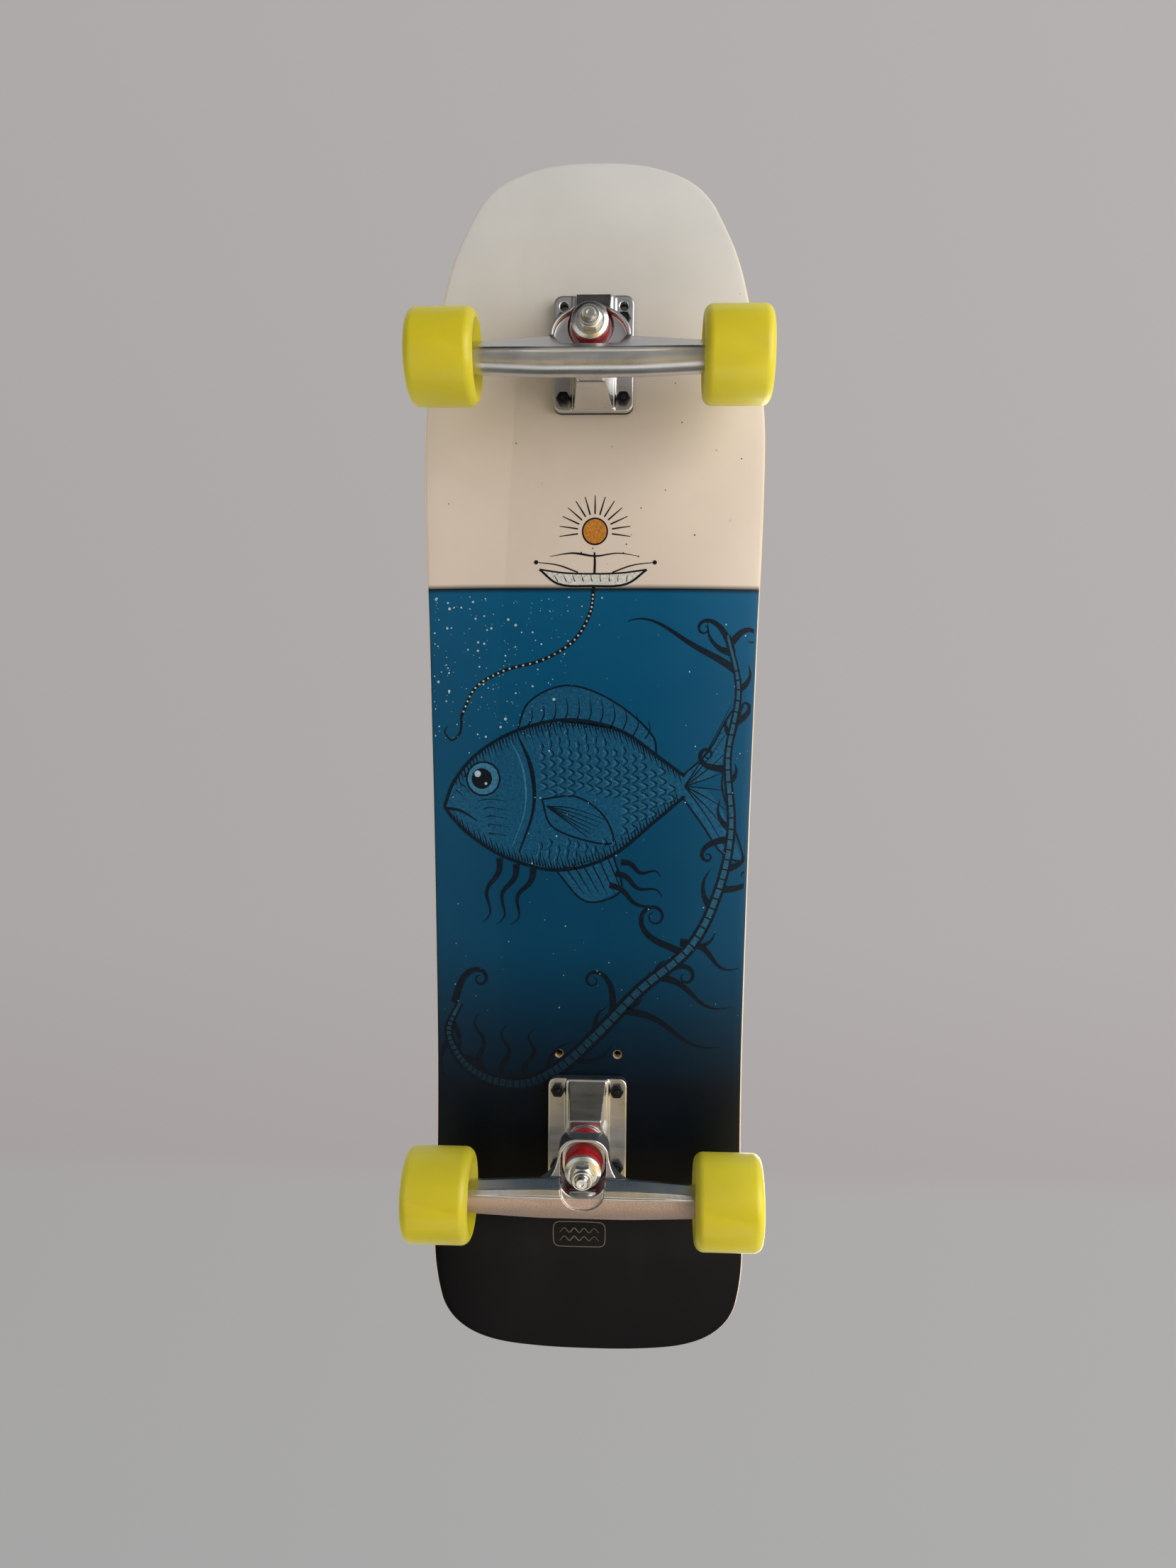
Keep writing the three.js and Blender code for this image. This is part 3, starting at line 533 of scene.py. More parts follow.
PAINT = painted_maple()
PLIES = maple_plies()
GRIT = grip_grit()
CAST = cast_aluminium()
ZINC = plated_steel("bright_zinc", linear(222, 221, 215), 0.24)
STEEL = plated_steel("bearing_steel", linear(206, 206, 204), 0.22)
URETHANE = soft_plastic(
    "urethane", linear(226, 214, 38), linear(220, 207, 56),
    cloud=24, sheen=(420, 0.34, 0.5), relief=(900, 3, 0.00005),
    subsurface_weight=0.35, subsurface_scale=0.004, subsurface_radius=(1.0, 0.9, 0.15), coat_weight=0.1,
)
RED = soft_plastic(
    "red_bushing", linear(196, 14, 26), linear(172, 10, 24),
    cloud=90, sheen=(300, 0.24, 0.42), relief=(1400, 2, 0.00004),
    subsurface_weight=0.2, subsurface_scale=0.003, subsurface_radius=(1.0, 0.15, 0.1), coat_weight=0.25,
)
RUBBER = dark_finish("riser_rubber", (0.012, 0.012, 0.013, 1), roughness=0.7, grain=1600)
BLACK = dark_finish("blackened_steel", (0.012, 0.014, 0.018, 1), roughness=0.34, grain=2400, metallic=0.6)
NYLON = dark_finish("nylon", (0.02, 0.021, 0.024, 1), roughness=0.42, grain=2000)
SHIELD = dark_finish("bearing_shield", (0.02, 0.02, 0.022, 1), roughness=0.38, grain=1800)

# ---- placing finished pieces


def look(made, name, material=None, crease=0):
    """Gives a piece its name, its material, and an edge where faces meet at more than `crease` degrees."""
    made.name = made.data.name = name
    if material is not None:
        made.data.materials.clear()
        made.data.materials.append(material)
    made.data.shade_smooth()
    if crease:
        made.data.set_sharp_from_angle(angle=math.radians(crease))


def add(made, name, body, material, replaces=(), crease=35):
    """Makes a piece ride on its body, in place of the CAD nodes that it stands for."""
    look(made, name, material, crease)
    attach(made, body)
    if replaces:
        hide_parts(*replaces)


# ---- deck and grip tape

OUTLINE = [  # half width and y, from the middle of the nose to the middle of the tail
    (0, 430), (20, 429.3), (38, 426.5), (55, 421), (69.5, 413), (81.5, 400), (90, 383), (98.6, 362),
    (107, 331), (119.4, 253), (120, 190), (116.6, 90), (112.4, -50), (109, -220), (109.5, -300),
    (111.9, -355), (109.7, -382), (106.5, -396), (99.5, -408), (87.5, -418), (69, -425), (36, -429),
    (0, -430),
]
ROWS_PER_SPAN = 10
PAINTED_BANDS = 2  # how much of the rounded edge the paint covers
COLUMNS = 44


def kick_height(y, kick):
    along = (y - kick["from"]) / (kick["full"] - kick["from"])
    if along <= 0:
        return 0
    ramp_length = abs(kick["full"] - kick["from"])
    straight = max(0, along - 1) * ramp_length
    return kick["slope"] * (ramp_length * min(along, 1) ** 2 / 2 + straight)


def underside_at(x, y):
    off = max(0, abs(x) - CONCAVE["flat"]) / CONCAVE["span"]
    sunk = -CONCAVE["height"] * off ** CONCAVE["power"]
    return sunk - kick_height(y, TAIL_KICK) - kick_height(y, NOSE_KICK)


def in_deck(x, y, depth):
    """A point that lies `depth` inside the underside, measured square to it."""
    step = 0.5
    slope_x = (underside_at(x + step, y) - underside_at(x - step, y)) / (2 * step)
    slope_y = (underside_at(x, y + step) - underside_at(x, y - step)) / (2 * step)
    normal = Vector((-slope_x, -slope_y, 1)).normalized()
    return Vector((x, y, underside_at(x, y))) - depth * normal


def half_outline(inset):
    mirrored = [(-x, y) for x, y in OUTLINE[-2:0:-1]]
    line = np.array(through(OUTLINE + mirrored, ROWS_PER_SPAN, closed=True))
    tangent = np.roll(line, -1, axis=0) - np.roll(line, 1, axis=0)
    tangent /= np.linalg.norm(tangent, axis=1)[:, None]
    count = ROWS_PER_SPAN * (len(OUTLINE) - 1) + 1
    rows = line[:count] + inset * np.stack([tangent[:count, 1], -tangent[:count, 0]], axis=1)
    rows[:, 0] = np.maximum(rows[:, 0], 0)
    rows[0] = (0, OUTLINE[0][1] - inset)
    rows[-1] = (0, OUTLINE[-1][1] + inset)
    return rows


EDGE_LINE = half_outline(0)[::-1]


def half_width(y):
    return float(np.interp(y, EDGE_LINE[:, 1], EDGE_LINE[:, 0]))


def plate(levels):
    """A closed plate from levels [(depth, inset), ...]. Its first skin has material 0, the rest 1."""
    points, depths, faces, slots, grids = [], [], [], [], []
    for depth, inset in levels:
        grid = []
        for half, y in half_outline(inset):
            grid.append(range(len(points), len(points) + COLUMNS + 1))
            for j in range(COLUMNS + 1):
                points.append(in_deck(half * (2 * j / COLUMNS - 1), y, depth))
                depths.append(depth)
        grids.append(grid)
    rows = len(grids[0])
    for level, grid in ((0, grids[0]), (1, grids[-1])):
        for i in range(rows - 1):
            for j in range(COLUMNS):
                a, b, c, d = grid[i][j], grid[i + 1][j], grid[i + 1][j + 1], grid[i][j + 1]
                faces.append((a, b, c, d) if level == 0 else (a, d, c, b))
                slots.append(level)
    for band, (upper, lower) in enumerate(zip(grids, grids[1:])):
        for i in range(rows - 1):
            for j in (0, COLUMNS):
                faces.append((upper[i][j], upper[i + 1][j], lower[i + 1][j], lower[i][j]))
                slots.append(0 if band < PAINTED_BANDS else 1)
    used = sorted({index for face in faces for index in face})
    renumber = {old: new for new, old in enumerate(used)}
    made = mesh_object("plate", [points[i] for i in used], [[renumber[i] for i in face] for face in faces])
    mark(made, "depth", [depths[i] for i in used])
    for material in (PAINT, PLIES):
        made.data.materials.append(material)
    made.data.polygons.foreach_set("material_index", slots)
    return tidied(made, 1e-3)


def mark(made, name, values):
    """Gives each corner of a mesh a value that its material reads."""
    made.data.attributes.new(name, "FLOAT", "POINT").data.foreach_set("value", values)


def bolt_places(truck, rows):
    """Each bolt hole's row and side, and the shift from the deck's middle to it."""
    return [(along, x, shift(x, truck.row_at(along))) for along in rows for x in (-BOLT_X, BOLT_X)]


def make_deck():
    turn = [math.radians(18 * k) for k in range(6)]
    near = [(EDGE_ROUND * (1 - math.cos(a)), EDGE_ROUND * (1 - math.sin(a))) for a in turn]
    far = [(DECK_THICKNESS - depth, inset) for depth, inset in reversed(near)]
    made = plate(near + far)
    low, high = BOLT_HOLE - 0.1, BOLT_HOLE + 0.42
    bare_edge = [(low, -0.5), (high, -0.03), (high, 0.03), (low, -0.16), (low, -0.5)]
    tools = []
    for along, x, place in bolt_places(REAR, SPARE_ROWS):
        tool = moved(rod(BOLT_HOLE, -30, 4, 48), place)
        tool.data.materials.append(PLIES)
        tools.append(tool)
        name = f"bare_rim_{'left' if x > 0 else 'right'}_{'inner' if along > 0 else 'outer'}"
        add(moved(turned(bare_edge, 48), BELLY @ place), name, "root", PLIES)
    made = moved(cut(made, *tools), BELLY)
    add(made, "deck_maple", "root", None, ["deck"], crease=50)


def make_grip():
    low, high, border = GRIP["low"], GRIP["high"], GRIP["border"]
    made = plate([(low, border), (high - 0.2, border), (high, border + 0.3)])
    places = bolt_places(FRONT, BOLT_ROWS) + bolt_places(REAR, BOLT_ROWS)
    tools = [moved(rod(GRIP["hole"], -20, 2, 40), place) for _, _, place in places]
    made = moved(cut(made, *tools), BELLY)
    add(made, "grip_sheet", "root", GRIT, ["grip_tape"], crease=50)


# ---- artwork

PRINT_MARGIN = 3.4  # printing stops this far from the deck's edge
FILL_BANDS = 6
LEVELS, LEVEL_STEP = 6, 0.004  # strokes that cross lie at different levels, so that they don't share a plane


class Ink:
    """One layer of printing: flat shapes on the underside, a little proud of the paint."""

    def __init__(self, name, material, lift):
        self.name, self.material, self.lift = name, material, lift
        self.points, self.faces, self.strokes = [], [], 0

    def face_strip(self, left, right):
        self.strokes += 1
        height = self.lift + LEVEL_STEP * (self.strokes % LEVELS)
        first = len(self.points)
        for pair in zip(left, right):
            self.points += [(*point, height) for point in pair]
        for a in range(first, first + 2 * len(left) - 2, 2):
            self.faces.append((a, a + 1, a + 3, a + 2))

    def stroke(self, line, width, tip=0.0, start=None, steps=7):
        """A line through points, from `start` wide to `width`, then thinning to `tip` at its end."""
        path = np.array(through(line, steps))
        tangent = np.gradient(path, axis=0)
        tangent /= np.linalg.norm(tangent, axis=1)[:, None] + 1e-9
        side = np.stack([-tangent[:, 1], tangent[:, 0]], axis=1)
        t = np.linspace(0, 1, len(path))
        begin, widest = width if start is None else start, 0.35
        growing = begin + (width - begin) * t / widest
        thinning = width + (tip - width) * ((t - widest) / (1 - widest))
        reach = side * (np.where(t < widest, growing, thinning) / 2)[:, None]
        self.face_strip(path - reach, path + reach)

    def outline(self, line, width):
        """A line that is as wide at its ends as in its middle."""
        self.stroke(line, width, tip=width, steps=5)

    def dot(self, x, y, radius, squash=1.0, sides=14):
        """A disc, made as a strip from its left end to its right."""
        across = -np.cos(np.linspace(0.12, math.pi - 0.12, sides // 2 + 1))
        half = np.sqrt(1 - across**2) * radius * squash
        xs = x + across * radius
        self.face_strip(np.stack([xs, y - half], axis=1), np.stack([xs, y + half], axis=1))

    def between(self, upper, lower):
        """Fills the space between two lines that run the same way, at the layer's lowest level."""
        t = np.linspace(0, 1, 60)
        sides = []
        for line in (upper, lower):
            path = np.array(through(line, 10))
            along = np.linspace(0, 1, len(path))
            sides.append(np.stack([np.interp(t, along, path[:, k]) for k in (0, 1)], axis=1))
        edges = [sides[0] + (sides[1] - sides[0]) * k / FILL_BANDS for k in range(FILL_BANDS + 1)]
        for low, high in zip(edges, edges[1:]):
            self.strokes = LEVELS - 1
            self.face_strip(low, high)

    def finish(self):
        points = []
        for x, y, height in self.points:
            room = half_width(y) - PRINT_MARGIN
            points.append(in_deck(max(-room, min(room, x)), y, -height))
        made = tidied(mesh_object(self.name, points, self.faces), 1e-3, facing_up=True)
        body = made.modifiers.new("thickness", "SOLIDIFY")
        body.thickness = self.lift + 0.06
        body.offset = -1
        add(moved(settled(made), BELLY), self.name, "root", self.material, crease=30)


BACK = [(-104, -26), (-97, -8), (-80, 12), (-50, 29), (-14, 36), (22, 28), (48, 10), (66, -3)]
BELLY_LINE = [(-104, -26), (-98, -34), (-84, -47), (-58, -62), (-22, -70), (14, -60), (44, -36), (66, -17)]

FISH_FILLS = [
    (BACK, BELLY_LINE),
    ([(64, -3), (82, 14), (98, 42), (105, 48)], [(64, -10), (80, -6), (90, 4), (105, 48)]),
    ([(64, -10), (80, -12), (92, -26), (107, -62)], [(64, -17), (78, -36), (94, -58), (107, -62)]),
    (
        [(-52, 28), (-44, 48), (-18, 60), (14, 50), (44, 24)],
        [(-52, 28), (-30, 34), (0, 32), (26, 26), (44, 12)],
    ),
    ([(-24, -69), (-4, -66), (16, -58)], [(-24, -70), (-2, -92), (22, -84)]),
]
FISH_FINS = [  # the tail, the back fin and the belly fin
    [
        (64, -3), (82, 14), (98, 42), (105, 48), (98, 16), (92, -8), (98, -30), (107, -62), (94, -58),
        (78, -36), (64, -17),
    ],
    [(-52, 28), (-44, 48), (-18, 60), (14, 50), (44, 24), (46, 12)],
    [(-24, -70), (-2, -92), (22, -84), (16, -58)],
]
SIDE_FIN = [(-34, -20), (-10, -18), (10, -32), (16, -50), (-6, -48), (-28, -38), (-34, -20)]


def fish(mid, pale, dark):
    for upper, lower in FISH_FILLS:
        mid.between(upper, lower)
    for line in (BACK, BELLY_LINE):
        dark.outline(line, 2.4)
    for fin in FISH_FINS:
        dark.outline(fin, 1.3)
    fin_rays(dark)
    hatching(dark, BACK, 9)
    hatching(dark, BELLY_LINE, -9)
    fish_scales(pale, dark)
    fish_head(pale, dark)
    dark.outline(SIDE_FIN, 1.3)
    for k in range(6):
        dark.stroke([(-31, -25), (-14 + k, -26 - 3 * k), (11 - 2.5 * k, -34 - 2.6 * k)], 0.8, 0.3)


def fin_rays(dark):
    for k in range(11):
        root, end = (-46 + 8.4 * k, 31 - 0.16 * (k - 3) ** 2), (-42 + 8.2 * k, 52 - 0.45 * (k - 4) ** 2)
        dark.stroke([root, ((root[0] + end[0]) / 2 + 2.5, (root[1] + end[1]) / 2), end], 1.0, 0.3)
    for k in range(8):
        y = -58 + 15 * k
        dark.stroke([(66, -10), (82, -10 + 0.45 * (y + 10)), (98, y)], 0.9, 0.25)
    for k in range(6):
        dark.stroke([(-18 + 6 * k, -67 + 1.5 * k), (-10 + 6 * k, -78), (-4 + 5.5 * k, -87)], 0.9, 0.25)


def hatching(dark, edge, reach):
    """Short engraved strokes from an outline into the body, long and short in turn."""
    first, last, pitch = -96, 64, 2.1
    for k in range(int((last - first) / pitch)):
        x = first + pitch * k
        y = height_at(edge, x)
        deep = reach * (1.0 if k % 2 else 0.55)
        line = [(x, y), (x + 0.12 * deep, y - 0.5 * deep), (x + 0.3 * deep, y - deep)]
        dark.stroke(line, 0.9, 0.15, 1.3, 3)


def height_at(line, x):
    xs, ys = zip(*line)
    return float(np.interp(x, xs, ys))


def fish_scales(pale, dark):
    """Rows of arcs over the body, with a lighter stroke inside each."""
    for column in range(15):
        x = -34 + 6.4 * column
        top, bottom = height_at(BACK, x) - 5, height_at(BELLY_LINE, x) + 5
        count = int((top - bottom) / 7)
        for k in range(count):
            y = bottom + (k + 0.5 * (column % 2) + 0.3) * 7
            if y > top or (x < 18 and -50 < y < -17 and x > -38):
                continue
            lean = 4.2 - 0.012 * (y + 18) ** 2 / 4
            dark.stroke([(x - 1, y + 3.6), (x + lean, y), (x - 1, y - 3.6)], 1.0, 0.3, 0.3, 4)
            pale.stroke([(x - 2.6, y + 2.2), (x + lean - 2.2, y), (x - 2.6, y - 2.2)], 0.9, 0.2, 0.2, 4)


def fish_head(pale, dark):
    dark.stroke([(-52, 26), (-42, 2), (-40, -26), (-50, -58)], 3.2, 1.0, 0.8)
    pale.stroke([(-57, 22), (-48, 2), (-46, -26), (-55, -54)], 1.6, 0.4, 0.4)
    dark.stroke([(-104, -27), (-92, -29), (-80, -36)], 2.2, 0.6)
    dark.dot(-76, -6, 12.6)
    pale.dot(-76, -6, 11.2)
    for k in range(9):
        y = -46 + 6 * k
        if -22 < y < 10:
            continue
        dark.stroke([(-86 + 0.5 * abs(y + 10), y), (-72, y + 1.6), (-58, y)], 0.8, 0.2, 0.2)
    for k in range(4):
        x, y = 3 * k - 96, 5 * k - 14
        dark.stroke([(x, y), (x + 4, y - 3), (x + 8, y - 8)], 0.7, 0.2)


def fish_eye(dark, white):
    dark.dot(-77, -6, 7.4)
    white.dot(-80, -2.6, 2.3)
    white.dot(-74, -9.4, 1.0)


STEM = [
    (-92, -166), (-100, -186), (-91, -206), (-72, -219), (-44, -222), (-20, -210), (6, -186), (36, -154),
    (72, -122), (91, -82), (99, -40), (96, 10), (103, 58), (95, 96),
]


def wavy(x, y, run, rise, sway, bends):
    """A line that swings from side to side on its way."""
    length = math.hypot(run, rise)
    across = (-rise / length, run / length)
    made = []
    for t in np.linspace(0, 1, 4 * bends + 1):
        swing = sway * math.sin(math.pi * bends * t) * (0.4 + 0.6 * t)
        made.append((x + run * t + across[0] * swing, y + rise * t + across[1] * swing))
    return made


def tendril(start, heading, length, turn, wave=0.0):
    """A line that curls tighter and tighter, turning by `turn` degrees in all."""
    x, y = start
    angle, made = math.radians(heading), [start]
    for k in range(24):
        t = (k + 0.5) / 24
        angle += math.radians(turn) * 3 * t**2 / 24 + math.radians(wave) * math.cos(2 * math.pi * t) / 4
        x, y = x + math.cos(angle) * length / 24, y + math.sin(angle) * length / 24
        made.append((x, y))
    return made


def blades(dark, path, first, step, size):
    """Leaves on both sides of a stem, each bending towards the stem's tip."""
    for k in range(first, len(path) - 4, step):
        along = path[k + 1] - path[k - 1]
        along /= np.linalg.norm(along)
        side = 1 if (k // step) % 2 else -1
        across = np.array((-along[1], along[0])) * side
        reach = size * (1 + 0.45 * math.sin(k * 1.7))
        line = [path[k], path[k] + reach * (0.35 * along + 0.5 * across)]
        line.append(path[k] + reach * (0.95 * along + 0.78 * across))
        line.append(path[k] + reach * (1.6 * along + 0.7 * across))
        dark.stroke([tuple(p) for p in line], 3.4, 0.3, 6, 6)


TENDRILS = [  # how far up the stem, heading, length, and how far it curls
    (76, 75, 64, 430), (88, 20, 46, -330), (94, 150, 84, -470), (108, -10, 36, 300), (118, 178, 40, 400),
    (130, 165, 44, -420), (138, 20, 26, 300), (148, 140, 86, 60), (152, 100, 52, 400), (154, 40, 34, -260),
]


def weed(slate, dark, bars):
    width = 11.5
    dark.stroke(STEM, width, 4.0, 5.0, 12)
    slate.stroke(STEM, width * 0.52, 1.6, 2.0, 12)
    path = np.array(through(STEM, 12))
    blades(dark, path, 8, 8, 12)
    for k in range(6, len(path) - 8, 2):
        along = path[k + 1] - path[k - 1]
        across = np.array((-along[1], along[0])) / np.linalg.norm(along) * width * 0.24
        bars.stroke([tuple(path[k] - across), tuple(path[k]), tuple(path[k] + across)], 1.1, 0.8, 0.8, 3)
    for where, heading, length, turn in TENDRILS:
        dark.stroke(tendril(tuple(path[where]), heading, length, turn, 12), 4.0, 0.6, 5.5, 3)
    dark.stroke(tendril((-96, -166), 75, 58, -420), 4.6, 0.7, 5.5, 3)
    for k, (x, y) in enumerate([(-76, -215), (-60, -219), (-44, -217)]):
        dark.stroke(wavy(x, y, 4 * k - 2, 42 - 4 * k, 4, 3), 3.6, 0.4, 4.5)
    for k, (x, y) in enumerate([(-64, -62), (-52, -66), (-40, -69)]):
        dark.stroke(wavy(x, y, -12 - 2 * k, -46 + 3 * k, 4, 3), 3.4, 0.4, 4.8)
    for k, (x, y) in enumerate([(14, -80), (18, -72), (22, -64)]):
        dark.stroke(wavy(x, y, 38 - 5 * k, -22 + 6 * k, 3, 3), 3.2, 0.4, 4.4)
    for k in range(3):
        dark.stroke(wavy(20 + 22 * k, -168 + 24 * k, 74 - 16 * k, -26 + 4 * k, 6, 2), 4.2, 0.4, 6.0)


def bubbles(white, dark):
    chance = random.Random(11)
    for _ in range(190):
        x, y = -112 + 96 * chance.random() ** 1.4, 20 + 102 * chance.random() ** 0.8
        white.dot(x, y, 0.22 + 0.85 * chance.random() ** 4, sides=8)
    for _ in range(110):
        x, y = chance.uniform(-112, 112), chance.uniform(-190, 122)
        white.dot(x, y, 0.18 + 0.5 * chance.random() ** 3, sides=8)
    for _ in range(26):
        dark.dot(chance.uniform(-106, 106), chance.uniform(132, 300), 0.25 + 0.3 * chance.random(), sides=8)


def boat(black, gold, white, cream):
    """A rowing boat on the waterline, under a sun with straight rays, and its fishing line."""
    top = [(-37, 141), (-20, 138.6), (0, 138), (20, 138.6), (38, 141)]
    keel = [(-37, 141), (-24, 131), (0, 129.6), (24, 131), (38, 141)]
    cream.between(top, keel)
    black.outline(top, 1.2)
    black.outline(keel, 1.5)
    for k in range(9):
        black.stroke([(-24 + 6 * k, 132.5), (-25.5 + 6.2 * k, 135), (-27 + 6.5 * k, 137.4)], 0.6, 0.2)
    black.stroke([(1.5, 138), (1.7, 146), (1.4, 153)], 1.6, 1.2)
    black.stroke([(-30, 150), (-14, 152.4), (2, 150.4), (18, 152.4), (33, 150.2)], 1.5, 0.3, 0.3)
    for side in (-1, 1):
        black.stroke([(2 + side * 12, 139), (2 + side * 26, 144), (2 + side * 41, 146)], 1.0, 0.5)
        black.dot(2 + side * 41.5, 146, 1.5)
    black.dot(1.6, 167.5, 9.2, 1.05, 24)
    gold.dot(1.6, 167.5, 8.1, 1.05, 24)
    for k in range(13):
        angle = math.radians(-8 + 196 / 12 * k)
        x, y = math.cos(angle), math.sin(angle)
        black.stroke([(1.6 + r * x, 167.5 + r * y) for r in (12, 18, 25)], 1.0, 0.5)
    line = [(1, 129), (-1, 112), (-12, 92), (-34, 78), (-62, 70), (-82, 58), (-92, 38)]
    black.stroke(line, 2.6, 2.0, 2.4, 12)
    path = np.array(through(line, 12))
    for x, y in path[4:-2:2]:
        white.dot(x, y, 0.75, sides=8)
    black.stroke([(-92, 40), (-93, 26), (-99, 21), (-104, 27), (-102, 31)], 1.5, 0.4)


def emblem(gilt):
    """A plain rounded frame round two waves, on the tail."""
    x, y, half, tall = -5.5, -330.5, 18.4, 9.6
    frame_line = [(x + px, y + py) for px, py in rounded_rectangle(half, -tall, tall, 4.5, 4)]
    gilt.stroke([*frame_line, frame_line[0]], 0.65, 0.65, steps=3)
    for rise in (-3.2, 3.2):
        wave = [(x + 3.5 * k - 14, y + rise + (1.7 if k % 2 else -1.7)) for k in range(9)]
        gilt.stroke(wave, 0.8, 0.3, 0.3, 6)


DEEP = (0.0015, 0.004, 0.008, 1)
GILT = linear(118, 108, 88)
INKS = {  # each ink's colour, what it fades to towards the tail, and how far it stands off the paint
    "mid_blue": (linear(22, 84, 116), DEEP, 0.05),
    "navy": (linear(3, 22, 36), DEEP, 0.1),
    "slate": (linear(34, 86, 112), DEEP, 0.14),
    "pale_blue": (linear(58, 118, 148), DEEP, 0.14),
    "cream": (linear(216, 214, 204), None, 0.08),
    "black": (linear(16, 18, 20), None, 0.14),
    "pupil": (linear(5, 16, 24), None, 0.18),
    "white": (linear(176, 196, 202), linear(30, 50, 60), 0.22),
    "gold": (linear(196, 128, 52), None, 0.18),
    "gilt": (GILT, GILT, 0.06),
}


def make_artwork():
    """A plain fish among weed, under a boat."""
    layers = []
    for name, (tone, fade_tone, lift) in INKS.items():
        layers.append(Ink(f"ink_{name}", printed(f"ink_{name}", tone, fade_tone), lift))
    mid, dark, slate, pale, cream, black, pupil, white, gold, gilt = layers
    weed(slate, dark, pupil)
    fish(mid, pale, dark)
    fish_eye(pupil, white)
    bubbles(white, black)
    boat(black, gold, white, cream)
    emblem(gilt)
    for layer in layers:
        layer.finish()


# ---- truck castings

PLATE_OUTLINE = rounded_rectangle(PLATE["half"], PLATE["outer"], PLATE["inner"], PLATE["corner"])


def bolt_bores(low, high):
    return [moved(rod(BOLT_HOLE, low, high, 40), shift(x, y)) for y in HOLE_ROWS for x in (-BOLT_X, BOLT_X)]


def kingpin_rod(truck, radius, low, high):
    return moved(rod(radius, low, high), truck.on_kingpin)


def steering_rod(truck, radius, low, high):
    return moved(rod(radius, low, high), truck.on_steering)


def axle_rod(truck, radius, half):
    return moved(rod(radius, -half, half), truck.along_axle())


def baseplate_bores(truck):
    return [
        *bolt_bores(0, FLANGE_TOP + 6),
        kingpin_rod(truck, KINGPIN_RADIUS + 0.3, -40, 8),
        steering_rod(truck, PIVOT_CUP + 0.1, -6.2, 20),
    ]


def hanger_bores(truck):
    return [
        kingpin_rod(truck, BUSHING_RADIUS + 0.6, 0, STACK["web"]),
        kingpin_rod(truck, 8.9, 0, 40),
        axle_rod(truck, AXLE_BORE, HANGER_HALF + 1),
    ]


def make_riser(truck):
    made = cut(prism(PLATE_OUTLINE, 0.05, RISER - 0.05), *bolt_bores(-1, RISER + 1))
    moved(bevelled(made, 0.3), truck.place)
    add(made, f"{truck.name}_riser", "root", RUBBER, [f"{truck.name}_riser_pad"])


def flange():
    band = rounded_rectangle(15, PLATE["outer"] + 0.6, PLATE["inner"] - 0.6, 2)
    return [prism(PLATE_OUTLINE, RISER, FLANGE_TOP), prism(band, RISER, FLANGE_TOP + 1.4)]


def drafted(profile, foot, crown, top):
    """A block whose sides lean in from `foot` at the flange to `crown` at `top`."""
    right = [(foot, RISER), (foot, FLANGE_TOP), (crown, top)]
    across = right + [(-x, z) for x, z in reversed(right)]
    mask = moved(prism(across, -60, 60), shift(0, -30) @ Matrix.Rotation(math.pi / 2, 4, "X"))
    return shared(side_profile(profile, foot), mask)


def make_rear_baseplate():
    truck = REAR
    y, front = truck.seat[0], PLATE["inner"] - 0.8
    ramp_side = softened(
        [
            (front, RISER), (front, FLANGE_TOP), (y + 30, 16.9), (y + 15.1, 32.9),
            (y + 13, 32.4), (y - 14.9, 26), (y - 16.9, 12), (y - 16.9, RISER),
        ],
        2.5,
    )
    block = drafted(ramp_side, 13.2, 10.6, 34)
    round_seat = kingpin_rod(truck, 15, -16, 0)
    boss = steering_rod(truck, PIVOT_CUP + 3.2, -7.4, 2.5)
    heel, toe = PLATE["outer"] + 1.4, y - 16
    foot = side_profile([(heel, RISER), (heel, 17), (toe, 17), (toe, RISER)], 9.2)
    below = prism([(-100, -100), (100, -100), (100, 100), (-100, 100)], RISER - 60, RISER)
    body = join(*flange(), block, round_seat, boss, foot)
    return cut(body, below, kingpin_rod(truck, 13.5, 0, 12), *baseplate_bores(truck))


def make_front_baseplate():
    truck = FRONT
    (y, z), (pivot_y, pivot_z) = truck.seat, truck.pivot
    horn = softened(
        [
            (pivot_y - 6, RISER), (PLATE["inner"] - 0.2, RISER), (PLATE["inner"] - 0.4, FLANGE_TOP),
            (pivot_y + 9.8, pivot_z - 2), (pivot_y + 7.6, pivot_z - 0.6), (pivot_y - 1.6, pivot_z - 0.6),
            (pivot_y - 1.6, pivot_z - 10), (pivot_y - 6, 20), (pivot_y - 6, RISER + 0.01),
        ],
        1.5,
    )
    back = drafted(horn, 13.4, 8.4, 58)
    top = steering_rod(truck, PIVOT_CUP + 1.9, -8, 1.4)
    seat = kingpin_rod(truck, 15, -z + RISER, 0)
    ridge = drafted(
        [
            (pivot_y - 4, RISER), (pivot_y - 4, 20), (y + 12, z - 1), (y - 13, z - 1),
            (PLATE["outer"] + 0.8, 13), (PLATE["outer"] + 0.8, RISER),
        ],
        12.4, 10.6, 32,
    )
    return cut(join(*flange(), back, top, seat, ridge), *baseplate_bores(truck))


